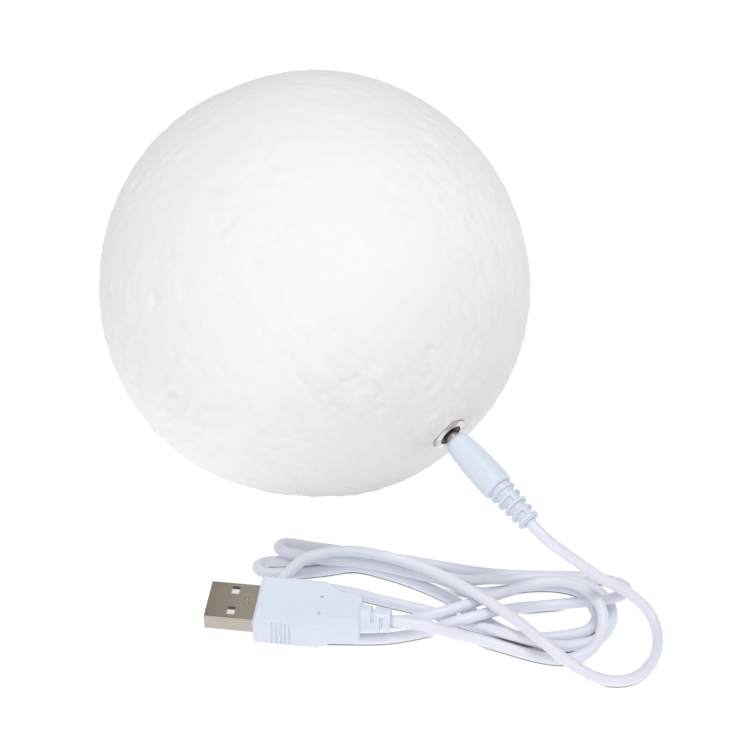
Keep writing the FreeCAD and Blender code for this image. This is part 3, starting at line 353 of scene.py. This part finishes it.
def make_usb_body():
    """Moulded grip of the USB plug: wide front, shoulders that curve in, and a neck.

    Its half width runs from shoulder to neck as a cosine, both ends are rounded over, and
    five grooves are pressed into each side.
    """
    size, cuts = USB_GRIP, GRIP_GROOVES
    stations = {0.0, size["length"]}
    for angle in np.radians(range(0, 91, 15)):
        inset = size["round"] * (1 - math.cos(angle))
        stations |= {inset, size["length"] - inset}
    stations |= set(np.linspace(size["round"], size["length"] - size["round"], 60))
    for number in range(cuts["count"]):
        middle = cuts["first"] + number * cuts["pitch"]
        stations |= {middle + side * cuts["half_width"] * edge for side in (-1, 1) for edge in (1.0, 0.6)}
    rows = []
    for along in sorted(stations):
        bend = min(1.0, max(0.0, (along - size["bend_from"]) / (size["bend_to"] - size["bend_from"])))
        swelling = size["front"] + (size["shoulder"] - size["front"]) * min(1.0, along / size["bend_from"])
        half_width = swelling + (size["neck"] - swelling) * (0.5 - 0.5 * math.cos(math.pi * bend))
        short = max(0.0, size["round"] - min(along, size["length"] - along))
        inset = size["round"] - math.sqrt(max(0.0, size["round"] ** 2 - short ** 2))
        corner = max(size["least_corner"], size["round"] - inset)
        section = rounded_section(half_width - inset, size["half_height"] - inset, corner, 7)
        for number in range(cuts["count"]):
            away = abs(along - cuts["first"] - number * cuts["pitch"])
            if away < 0.8 * cuts["half_width"]:
                side = np.abs(section[:, 0]) > half_width - 0.5 * size["round"]
                section[side, 0] -= np.sign(section[side, 0]) * cuts["depth"]
        rows.append(usb_point(size["start"] + along, section[:, 0], section[:, 1]))
    points, faces = closed_grid(np.array(rows))
    grip = new_piece("usb_body", points, faces)
    tidy(grip)
    soften(grip, 35)
    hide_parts("usb_grip")
    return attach(grip, "lamp")


# the USB plug's sleeve, in mm
USB_SLEEVE = {"start": 37.7, "end": 45.1, "first": 3.4, "last": 2.95, "floor": 2.45, "round": 0.35}
# slots round the USB plug's sleeve: share of its length from and to, and the turn of their rib
SLEEVE_SLOTS = [(0.36, 0.47, 185), (0.66, 0.77, 90)]
SLOT_EDGE = 0.012                # share of the sleeve's length in which a slot's wall rises
RIB_HALF_TURN, RIB_EDGE = 40, 5  # degrees


def make_usb_sleeve():
    """Strain relief of the USB plug: a tapered sleeve with two slots, each left whole at a rib.

    radius = outer(h) - (outer(h) - floor) * slot(h) * (1 - rib(angle)), rounded at its far end.
    """
    size = USB_SLEEVE
    share = np.linspace(0, 1, 180)[:, None]
    angle = np.linspace(0, 2 * math.pi, PLUG_SIDES, endpoint=False)[None, :]
    outer = size["first"] + (size["last"] - size["first"]) * share
    radius = outer + 0 * angle
    for low, high, turn in SLEEVE_SLOTS:
        slot = np.clip((share - low) / SLOT_EDGE, 0, 1) * np.clip((high - share) / SLOT_EDGE, 0, 1)
        away = np.abs((angle - math.radians(turn) + math.pi) % (2 * math.pi) - math.pi)
        rib = np.clip((math.radians(RIB_HALF_TURN) - away) / math.radians(RIB_EDGE), 0, 1)
        radius = radius - (outer - size["floor"]) * slot * (1 - rib)
    left = (1 - share) * (size["end"] - size["start"])
    short = np.clip(size["round"] - left, 0, None)
    radius = radius - size["round"] + np.sqrt(np.clip(size["round"] ** 2 - short ** 2, 0, None))
    along = size["start"] + (size["end"] - size["start"]) * share + 0 * angle
    points, faces = closed_grid(usb_point(along, radius * np.cos(angle), radius * np.sin(angle)))
    sleeve = new_piece("usb_sleeve", points, faces)
    tidy(sleeve)
    soften(sleeve, 40)
    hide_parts("usb_strain_relief")
    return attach(sleeve, "lamp")


# small round marks: place along, across and up on the USB plug in mm, radius, thickness, slot
ROUND_MARKS = {
    "ejector_mark_left": (27.9, 2.25, 3.83, 0.26, 0.15, "cord_plastic"),
    "ejector_mark_right": (27.95, -3.2, 3.83, 0.26, 0.15, "cord_plastic"),
    "seam_lock_left": (9.4, 1.15, 2.25, 0.50, 0.15, "brass"),
    "seam_lock_right": (9.7, -0.5, 2.25, 0.50, 0.15, "brass"),
}
MARK_SIDES, MARK_SECTION = 28, 8
# the windows' middles across the plug, and the reach of their dark boxes of painted shade along, across and
# up, in mm
WINDOWS = {"window_shade_left": 3.4, "window_shade_right": -3.4}
SHADE_ALONG, SHADE_ACROSS, SHADE_UP = (5.35, 7.25), (0.55, 1.2), (1.93, 2.03)
BOX_FACES = [(0, 1, 2, 3), (4, 5, 6, 7), (0, 1, 5, 4), (1, 2, 6, 5), (2, 3, 7, 6), (3, 0, 4, 7)]


def make_marks():
    """Fine rings on the upper faces of the USB plug, and dark boxes of painted shade at the far edges of
    its windows.
    """
    marks = []
    for name, (along, across, up, radius, thick, slot) in ROUND_MARKS.items():
        turn = np.linspace(0, 2 * math.pi, MARK_SIDES, endpoint=False)[:, None]
        swing = np.linspace(0, 2 * math.pi, MARK_SECTION, endpoint=False)[None, :]
        reach = radius + thick * np.cos(swing)
        points = usb_point(along + reach * np.cos(turn), across + reach * np.sin(turn),
                           up + 0.5 * thick * np.sin(swing) + 0 * turn).reshape(-1, 3)
        marks.append(new_piece(name, points, joined_faces(MARK_SIDES, MARK_SECTION)))
    (near, far), (low, high) = SHADE_ALONG, SHADE_ACROSS
    around = ((near, low), (far, low), (far, high), (near, high))
    corners = np.array([(*corner, up) for up in SHADE_UP for corner in around])
    # each window gets a dark box of painted shade at its far edge
    for name, across in WINDOWS.items():
        points = usb_point(corners[:, 0], across + corners[:, 1], corners[:, 2])
        marks.append(new_piece(name, points, BOX_FACES, smooth=False))
    for mark in marks:
        tidy(mark)
        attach(mark, "lamp")
    return marks


# ------------------------------------------------------------------- globe and its cap
WAVE_SPREAD = (0.75, 1.3)        # waves to the given length
RIPPLE_PEAK = 1.8                # about the peak of a sum of waves over the root of their number


def ripple(ways, wavelength, count, seed):
    """Smooth random relief, mostly from -1 to 1: sum of cos(wave . place + start), scaled.

    Each wave has a random heading, length and start.
    """
    random = np.random.default_rng(seed)
    heading = random.normal(size=(count, 3))
    heading *= (2 * math.pi / wavelength) / np.linalg.norm(heading, axis=1, keepdims=True)
    heading *= random.uniform(*WAVE_SPREAD, size=(count, 1))
    start = random.uniform(0, 2 * math.pi, count)
    height = np.zeros(len(ways))
    for wave, shift in zip(heading, start):
        height += np.cos(ways @ wave * GLOBE_RADIUS + shift)
    return height / math.sqrt(count) / RIPPLE_PEAK


# craters: the edge's waver, the rim's height over the depth and its width over the radius,
# then the reach over the radius, how far sizes lean to the small end, and the depths' spread
EDGE_WAVER, RIM_LIFT, RIM_REACH = 0.12, 0.35, 0.22
CRATER_REACH, SIZE_LEAN, DEPTH_SPREAD = 1.7, 1.8, (0.4, 1.2)


def crater_relief(ways, count, small, large, dish, seed):
    """Craters, each a dish with a raised rim.

    height = depth * min(share^2 - 1, 0) + RIM_LIFT * depth * exp(-((share - 1) / RIM_REACH)^2)
    share = distance from the crater's centre / (radius * (1 + EDGE_WAVER * ripple))
    radius = small * (large / small)^(random^SIZE_LEAN)
    """
    random = np.random.default_rng(seed)
    centres = random.normal(size=(count, 3))
    centres /= np.linalg.norm(centres, axis=1, keepdims=True)
    sizes = small * (large / small) ** (random.uniform(0, 1, count) ** SIZE_LEAN)
    depths = dish * sizes * random.uniform(*DEPTH_SPREAD, count)
    waver = 1 + EDGE_WAVER * ripple(ways, 6 * MM, 30, seed + 1)
    height = np.zeros(len(ways))
    for centre, radius, depth in zip(centres, sizes, depths):
        near = np.nonzero(ways @ centre > math.cos(CRATER_REACH * radius / GLOBE_RADIUS))[0]
        if not len(near):
            continue
        share = np.linalg.norm(ways[near] - centre, axis=1) * GLOBE_RADIUS / (radius * waver[near])
        dished = np.where(share < 1, depth * (share ** 2 - 1), 0.0)
        height[near] += dished + RIM_LIFT * depth * np.exp(-((share - 1) / RIM_REACH) ** 2)
    return height


# Broad swells and hollows that show in the globe's outline: direction, height in mm and
# reach in degrees.
BROAD_FORMS = [
    ((1.0, -0.07, -0.08), 0.40, 10), ((-0.03, -0.64, -0.77), -1.50, 15),
    ((-0.31, -0.61, -0.73), -0.70, 9), ((-0.93, -0.24, -0.29), 0.55, 12),
    ((-0.34, 0.60, 0.72), -0.65, 11), ((0.84, -0.35, -0.42), -0.15, 8),
]
# random waves as height and wavelength in mm, number and seed
SOFT_WAVES = [(0.20, 40, 24, 3), (0.10, 15, 40, 5)]
BUMP_WAVES = [(0.22, 7, 60, 7), (0.27, 3.6, 70, 11), (0.13, 2.1, 70, 23)]
# craters as number, smallest and largest radius, depth over radius, and seed
LARGE_CRATERS = (70, 3.0 * MM, 8.0 * MM, 0.02, 13)
SMALL_CRATERS = (900, 0.8 * MM, 2.6 * MM, 0.16, 17)
ROUGH_SIDE = np.array([-0.05, -0.99, -0.10])    # the relief is strongest here, towards the cord
PIT = ((0.391, -0.713, 0.582), 0.30, 0.6)       # direction, depth and radius in mm
SCRATCH_END = (0.261, -0.801, 0.539)            # a faint line runs from the pit to here
SCRATCH_DEPTH, SCRATCH_RADIUS = 0.05, 0.5       # mm


def swell(ways, centre, height, reach):
    """One round form, height * exp(-(angle / reach)^2)."""
    centre = np.array(centre) / np.linalg.norm(centre)
    angle = 2 * np.arcsin(np.clip(np.linalg.norm(ways - centre, axis=1) / 2, 0, 1))
    return height * np.exp(-(angle / reach) ** 2)


def waves(ways, table):
    """Sum of the random waves in a table, in mm."""
    return sum(tall * ripple(ways, length * MM, count, seed) for tall, length, count, seed in table)


def moon_relief(ways):
    """Height of the printed surface over the plain globe, for unit directions.

    broad forms + soft waves + large craters + patches * (bumps + small craters) - pit - scratch
    patches = (0.8 + 0.5 * ripple, kept within 0.45 and 1.3) * (0.6 + 0.9 * nearness^3), where
    nearness is the cosine of the angle from the rough side, or 0 behind it.
    """
    height = sum(swell(ways, centre, tall * MM, math.radians(reach)) for centre, tall, reach in BROAD_FORMS)
    height += MM * waves(ways, SOFT_WAVES)
    strength = 0.6 + 0.9 * np.clip(ways @ ROUGH_SIDE, 0, 1) ** 3
    patches = np.clip(0.8 + 0.5 * ripple(ways, 28 * MM, 30, 21), 0.45, 1.3) * strength
    height += MM * patches * waves(ways, BUMP_WAVES)
    height += crater_relief(ways, *LARGE_CRATERS) + patches * crater_relief(ways, *SMALL_CRATERS)
    height += swell(ways, PIT[0], -PIT[1] * MM, PIT[2] * MM / GLOBE_RADIUS)
    for share in np.linspace(0.12, 1.0, 16):
        spot = np.array(PIT[0]) * (1 - share) + np.array(SCRATCH_END) * share
        height += swell(ways, spot, -SCRATCH_DEPTH * MM, SCRATCH_RADIUS * MM / GLOBE_RADIUS)
    return height


def globe_directions(angles, turns):
    """Unit directions from the globe's centre, by angle from the jack's line and turn about it."""
    angle, turn = np.meshgrid(angles, turns, indexing="ij")
    return (np.cos(angle)[..., None] * JACK_WAY
            + np.sin(angle)[..., None] * (np.cos(turn)[..., None] * JACK_SIDE
                                          + np.sin(turn)[..., None] * JACK_UP))


POLE_GAP = 1e-5                  # radians; the last row's points are merged into one
INNER_ROWS = 10                  # rows on the wall's plain inside
GLOBE_ROWS, CAP_ROWS = 196, 60
GLOBE_SIDES = 476                # the same for both parts, so that their edges share their points
WALL_EDGE = 60                   # degrees; edges sharper than this aren't smoothed


def shell_part(name, near, far, steps, node):
    """Part of the globe's wall between two angles from the jack's line.

    The outside is centre + (radius + relief) * direction and the inside is
    centre + (radius - wall) * direction; both are cut level with the table.
    """
    turns = np.linspace(0, 2 * math.pi, GLOBE_SIDES, endpoint=False)
    outside = globe_directions(np.linspace(near, far, steps), turns)
    relief = moon_relief(outside.reshape(-1, 3)).reshape(outside.shape[:2])
    outer = GLOBE_CENTRE + outside * (GLOBE_RADIUS + relief)[..., None]
    inside = globe_directions(np.linspace(far, near, INNER_ROWS), turns)
    inner = GLOBE_CENTRE + inside * (GLOBE_RADIUS - GLOBE_WALL)
    rows = np.concatenate([outer, inner])
    rows[..., 2] = np.maximum(rows[..., 2], 0.0)
    piece = new_piece(name, rows.reshape(-1, 3), joined_faces(len(rows), GLOBE_SIDES))
    tidy(piece)
    # the wall's edges are sharp, so that the outside shades evenly right up to them
    soften(piece, WALL_EDGE)
    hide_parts(node)
    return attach(piece, "lamp")


def make_globe():
    """The globe and its closing cap, which meet edge to edge."""
    mouth = math.asin(RING_RECESS / GLOBE_RADIUS)
    globe = shell_part("cratered_globe", CAP_EDGE, math.pi - POLE_GAP, GLOBE_ROWS, "moon_globe")
    cap = shell_part("closing_cap", mouth, CAP_EDGE, CAP_ROWS, "bottom_cap")
    return globe, cap


# ---------------------------------------------------------------------------- materials
BUMP_STRENGTH = 0.5


class Number:
    """A number in a material, so that its maths reads as a plain expression."""

    def __init__(self, finish, socket):
        self.finish, self.socket = finish, socket

    def _math(self, operation, first, second):
        node = self.finish.node("ShaderNodeMath", {"operation": operation}, {0: first, 1: second})
        return Number(self.finish, node.outputs[0])

    def __add__(self, other): return self._math("ADD", self, other)
    def __radd__(self, other): return self._math("ADD", other, self)
    def __sub__(self, other): return self._math("SUBTRACT", self, other)
    def __rsub__(self, other): return self._math("SUBTRACT", other, self)
    def __mul__(self, other): return self._math("MULTIPLY", self, other)
    def __rmul__(self, other): return self._math("MULTIPLY", other, self)

    def ramp(self, low, high, low_value=0.0, high_value=1.0):
        """Smooth step from one value to another as this number goes from low to high."""
        node = self.finish.node("ShaderNodeMapRange", {"interpolation_type": "SMOOTHSTEP"}, {
            "Value": self, "From Min": low, "From Max": high, "To Min": low_value, "To Max": high_value})
        return Number(self.finish, node.outputs[0])


class Finish:
    """A material with one Principled shader, and the few calls that this lamp's finishes need."""

    def __init__(self, name, **values):
        self.material = bpy.data.materials.new(name)
        self.material.use_nodes = True
        self.tree = self.material.node_tree
        self.tree.nodes.clear()
        self.shader = self.node("ShaderNodeBsdfPrincipled", {}, values)
        self.node("ShaderNodeOutputMaterial", {}, {"Surface": self.shader.outputs[0]})
        self.place = self.node("ShaderNodeTexCoord", {}, {}).outputs["Object"]

    def node(self, kind, settings, values):
        """Add a node; settings are set first, and values fill or feed its sockets."""
        node = self.tree.nodes.new(kind)
        for key, value in settings.items():
            setattr(node, key, value)
        for key, value in values.items():
            self.feed(node.inputs[key], value)
        return node

    def feed(self, socket, value):
        if isinstance(value, Number):
            value = value.socket
        if isinstance(value, bpy.types.NodeSocket):
            self.tree.links.new(value, socket)
        else:
            socket.default_value = value

    def set(self, **values):
        for key, value in values.items():
            self.feed(self.shader.inputs[key.replace("_", " ")], value)

    def noise(self, per_metre, detail, roughness):
        node = self.node("ShaderNodeTexNoise", {}, {
            "Vector": self.place, "Scale": per_metre, "Detail": detail, "Roughness": roughness})
        return Number(self, node.outputs[0])

    def blend_colour(self, factor, low, high):
        return self.mix_colours(factor, (*low, 1), (*high, 1))

    def mix_colours(self, factor, low, high):
        return self.node("ShaderNodeMix", {"data_type": "RGBA"}, {0: factor, 6: low, 7: high}).outputs[2]

    def bump(self, height, distance):
        values = {"Height": height, "Distance": distance, "Strength": BUMP_STRENGTH}
        node = self.node("ShaderNodeBump", {}, values)
        self.set(Normal=node.outputs[0])


# heights of the finest grain, in metres
PRINT_GRAIN, MOULD_GRAIN, METAL_GRAIN = 0.00010, 0.00002, 0.00001
CAP_TONE = (0.026, 0.053)        # from the globe's centre towards the jack, where the tone changes
SHELL_TOP = (0.00925, 0.00934)   # height at which the USB shell's side becomes its upper face, where the painted dark reflection starts
SHELL_MOUTH = (-0.026, -0.010)   # where the painted dark reflection on the upper face lightens, along X


def printed_plastic():
    """Matt white printed plastic with a fine grain, a little warmer and darker on the cap."""
    finish = Finish("printed_plastic", Roughness=0.75)
    middle = finish.node("ShaderNodeVectorMath", {"operation": "SUBTRACT"},
                         {0: finish.place, 1: tuple(GLOBE_CENTRE)}).outputs[0]
    reach = finish.node("ShaderNodeVectorMath", {"operation": "DOT_PRODUCT"},
                        {0: middle, 1: tuple(JACK_WAY)}).outputs["Value"]
    wander = finish.noise(45, 3, 0.55)
    cap = (Number(finish, reach) + wander * 0.012 - 0.006).ramp(*CAP_TONE)
    mottle = finish.noise(70, 3, 0.55) * 0.6 + finish.noise(420, 3, 0.6) * 0.4
    white = finish.blend_colour(mottle, (0.87, 0.875, 0.86), (0.93, 0.93, 0.92))
    warm = finish.blend_colour(mottle, (0.77, 0.77, 0.745), (0.85, 0.85, 0.83))
    finish.set(Base_Color=finish.mix_colours(cap, white, warm))
    finish.bump(finish.noise(900, 4, 0.6) * 0.6 + finish.noise(2600, 2, 0.5) * 0.4, PRINT_GRAIN)
    return finish.material


def satin_plastic(name, low, high, roughness):
    """Moulded plastic with a slight cloud in its colour and a soft sheen."""
    finish = Finish(name, Roughness=roughness)
    cloud = finish.noise(150, 2, 0.5)
    finish.set(Base_Color=finish.blend_colour(cloud, low, high))
    finish.set(Roughness=finish.noise(700, 2, 0.5) * 0.12 + (roughness - 0.06))
    finish.bump(finish.noise(2500, 2, 0.5), MOULD_GRAIN)
    return finish.material


def plated_shell():
    """Nickel-plated shell with a painted dark, brown reflection on its upper face, darkest at its open end.
    """
    finish = Finish("plated_shell", Metallic=1.0, Roughness=0.2)
    parts = finish.node("ShaderNodeSeparateXYZ", {}, {0: finish.place})
    height, along = Number(finish, parts.outputs[2]), Number(finish, parts.outputs[0])
    # random tone on the side, which also wavers the edge of the painted reflection
    stain_and_reflection_edge = finish.noise(300, 4, 0.6)
    side = finish.blend_colour(stain_and_reflection_edge, (0.42, 0.38, 0.335), (0.49, 0.445, 0.395))
    # painted reflection: the upper face is painted darker and browner than the side for the dim surround it
    # mirrors
    painted_reflection = finish.blend_colour((along + stain_and_reflection_edge * 0.004).ramp(*SHELL_MOUTH), (0.26, 0.225, 0.185),
                               (0.36, 0.32, 0.275))
    finish.set(Base_Color=finish.mix_colours(height.ramp(*SHELL_TOP), side, painted_reflection))
    finish.set(Roughness=finish.noise(1200, 3, 0.6) * 0.12 + 0.14)
    finish.bump(finish.noise(4000, 2, 0.5), METAL_GRAIN)
    return finish.material


def metal(name, low, high, roughness):
    """Plated or plain metal with faint stains and fine scratches."""
    finish = Finish(name, Metallic=1.0, Roughness=roughness)
    finish.set(Base_Color=finish.blend_colour(finish.noise(300, 4, 0.6), low, high))
    finish.set(Roughness=finish.noise(1200, 3, 0.6) * 0.15 + (roughness - 0.07))
    finish.bump(finish.noise(4000, 2, 0.5), METAL_GRAIN)
    return finish.material


MATERIALS = {
    "globe": printed_plastic(),
    "cord": satin_plastic("cord_sheath", (0.76, 0.78, 0.86), (0.82, 0.84, 0.93), 0.36),
    "cord_plastic": satin_plastic("cord_moulding", (0.68, 0.73, 0.84), (0.74, 0.79, 0.90), 0.42),
    "nickel": metal("nickel", (0.50, 0.455, 0.405), (0.58, 0.53, 0.475), 0.2),
    "steel": metal("zinc", (0.5, 0.5, 0.5), (0.62, 0.62, 0.61), 0.4),
    "brass": metal("gilt_contact", (0.72, 0.55, 0.26), (0.82, 0.66, 0.36), 0.3),
    "black_plastic": satin_plastic("black_moulding", (0.012, 0.012, 0.012), (0.025, 0.025, 0.025), 0.45),
    "inner_plastic": satin_plastic("inner_moulding", (0.78, 0.78, 0.76), (0.84, 0.84, 0.82), 0.5),
    "board": satin_plastic("green_mask", (0.02, 0.16, 0.06), (0.04, 0.24, 0.1), 0.35),
    "foil": metal("pouch_foil", (0.62, 0.63, 0.65), (0.72, 0.73, 0.75), 0.45),
    "foam": satin_plastic("foam_pad", (0.1, 0.1, 0.11), (0.18, 0.18, 0.19), 0.9),
    "wire": satin_plastic("red_insulation", (0.5, 0.03, 0.03), (0.62, 0.06, 0.05), 0.45),
    "light_board": satin_plastic("white_mask", (0.76, 0.76, 0.76), (0.84, 0.84, 0.84), 0.4),
    "light": satin_plastic("phosphor", (0.8, 0.7, 0.3), (0.9, 0.8, 0.4), 0.35),
    "tongue": satin_plastic("white_tongue", (0.72, 0.72, 0.72), (0.8, 0.8, 0.8), 0.45),
    # dark rings painted as the shade in the ejector marks' dimples
    "mark": satin_plastic("shaded_mark", (0.30, 0.32, 0.38), (0.40, 0.42, 0.48), 0.5),
    "seam": metal("shell_seam", (0.30, 0.24, 0.15), (0.46, 0.38, 0.26), 0.3),
    # painted shade at the far edges of the USB plug's windows
    "window": satin_plastic("window_edge", (0.05, 0.045, 0.04), (0.10, 0.09, 0.08), 0.6),
}
# the ejector marks and the window boxes take dark finishes that are painted shade
MARK_FINISHES = {"ejector_mark": "mark", "seam_lock": "seam", "window_shade": "window"}
# nodes whose finish differs from that of their slot
NODE_FINISHES = {
    "usb_shell": plated_shell(),
    "touch_ring": metal("bright_nickel", (0.66, 0.63, 0.60), (0.78, 0.76, 0.73), 0.2),
}


def paint(piece, slot):
    """Give a piece the material of a slot, or of one of the marks."""
    piece.data.materials.clear()
    piece.data.materials.append(MATERIALS[slot])


# ------------------------------------------------------------------------------- studio
SURROUND = 0.58                  # strength of the even white light from all round
SHADE_REACH = 0.0035             # how near a piece has to be to darken the floor
FLOOR_GLOW = 0.35                # the floor's own light on what stands on it
FLOOR_OPEN = (0.18, 0.42)        # open share of the floor's sky at which its painted shade is dark and at which it is white
FLOOR_TONE = (0.02, 1.08)        # its glow there
FLOOR_HALF, FLOOR_DROP = 3, 0.00002             # metres
MIRRORED_WAY = (0.0, 0.765, 0.643)              # what the USB plug's upper face mirrors
DIM_FROM, DIM_TO = 0.78, 0.92    # closeness to that way, as a cosine, over which the light falls
DIM_SHARE = 0.3                  # of the light, left in that direction
# disk lamps: size, power and place
SOFT_BOXES = {"overhead": (0.30, 2.4, (0.10, -0.10, 0.90)), "front": (0.7, 1.22, (-0.06, -0.68, 0.60))}
CAMERA_PLACE = (0.015508, -0.379533, 0.343184)
CAMERA_DOWN = 40.046             # degrees
SENSOR, LENS = 36.0, 88.8        # mm


def make_studio():
    """White floor with painted shade where pieces lie close to it, an even white surround and two soft
    lamps.
    """
    points = np.array([[-1, -1, 0], [1, -1, 0], [1, 1, 0], [-1, 1, 0]], float) * FLOOR_HALF
    points -= [0, 0, FLOOR_DROP]
    floor = new_piece("studio_floor", points, [[0, 1, 2, 3]], smooth=False)
    finish = Finish("studio_floor", Roughness=1.0)
    seen = Number(finish, finish.node("ShaderNodeLightPath", {}, {}).outputs["Is Camera Ray"])
    # seen directly, the floor glows white, with painted shade from ambient occlusion where something lies
    # close to it
    corner = finish.node("ShaderNodeAmbientOcclusion", {"samples": 24}, {"Distance": SHADE_REACH})
    open_share = Number(finish, corner.outputs["AO"]).ramp(*FLOOR_OPEN, *FLOOR_TONE)
    glow = seen * (open_share - FLOOR_GLOW) + FLOOR_GLOW
    finish.set(Base_Color=finish.blend_colour(seen, (0.92, 0.92, 0.92), (0.0, 0.0, 0.0)),
               Specular_IOR_Level=0.0, Emission_Color=(1, 1, 1, 1), Emission_Strength=glow)
    floor.data.materials.append(finish.material)

    world = bpy.data.worlds.new("surround")
    bpy.context.scene.world = world
    world.use_nodes = True
    tree = world.node_tree
    background = tree.nodes["Background"]
    background.inputs[0].default_value = (1, 1, 1, 1)
    path = tree.nodes.new("ShaderNodeLightPath")
    # the surround is dimmer behind and above, where the USB plug's upper face mirrors it
    heading = tree.nodes.new("ShaderNodeTexCoord")
    facing = tree.nodes.new("ShaderNodeVectorMath")
    facing.operation = "DOT_PRODUCT"
    tree.links.new(heading.outputs["Generated"], facing.inputs[0])
    facing.inputs[1].default_value = MIRRORED_WAY
    shaded = map_range(tree, facing.outputs["Value"], DIM_FROM, DIM_TO, SURROUND, DIM_SHARE * SURROUND)
    strength = mix_numbers(tree, path.outputs["Is Camera Ray"], shaded, 1.0)
    tree.links.new(strength, background.inputs[1])

    for name, (size, energy, place) in SOFT_BOXES.items():
        lamp = bpy.data.lights.new(name, "AREA")
        lamp.shape = "DISK"
        lamp.size = size
        lamp.energy = energy
        soft_box = bpy.data.objects.new(name, lamp)
        soft_box.location = place
        aim = Vector(GLOBE_CENTRE) - Vector(place)
        soft_box.rotation_euler = aim.to_track_quat("-Z", "Y").to_euler()
        bpy.context.scene.collection.objects.link(soft_box)


def map_range(tree, value, low, high, low_value, high_value):
    node = tree.nodes.new("ShaderNodeMapRange")
    tree.links.new(value, node.inputs["Value"])
    names = ("From Min", "From Max", "To Min", "To Max")
    for name, number in zip(names, (low, high, low_value, high_value)):
        node.inputs[name].default_value = number
    return node.outputs[0]


def mix_numbers(tree, factor, low, high):
    node = tree.nodes.new("ShaderNodeMix")
    for index, value in ((0, factor), (2, low), (3, high)):
        if isinstance(value, bpy.types.NodeSocket):
            tree.links.new(value, node.inputs[index])
        else:
            node.inputs[index].default_value = value
    return node.outputs[0]


def make_camera():
    """The photograph's own view: 40 degrees down, with a long lens."""
    camera = bpy.data.cameras.new("photo_view")
    camera.sensor_width = SENSOR
    camera.lens = LENS
    camera.clip_start = 0.01
    view = bpy.data.objects.new("photo_view", camera)
    view.location = CAMERA_PLACE
    view.rotation_euler = (math.radians(90 - CAMERA_DOWN), 0.0, 0.0)
    bpy.context.scene.collection.objects.link(view)
    bpy.context.scene.camera = view


make_camera()
make_studio()
paint(make_plug_body(), "cord_plastic")
paint(make_plug_sleeve(), "cord_plastic")
paint(make_usb_body(), "cord_plastic")
paint(make_usb_sleeve(), "cord_plastic")
for part in make_marks():
    paint(part, MARK_FINISHES[part.name.rsplit("_", 1)[0]])
paint(make_cord(), "cord")
for part in make_globe():
    paint(part, "globe")
slots = {part["node"]: part["material_slot"] for part in frame["record"]["subparts"]}
for name, node in frame["nodes"].items():
    for place in node.material_slots:
        place.material = NODE_FINISHES.get(name) or MATERIALS[slots[name]]
bpy.context.scene.view_settings.view_transform = "Standard"
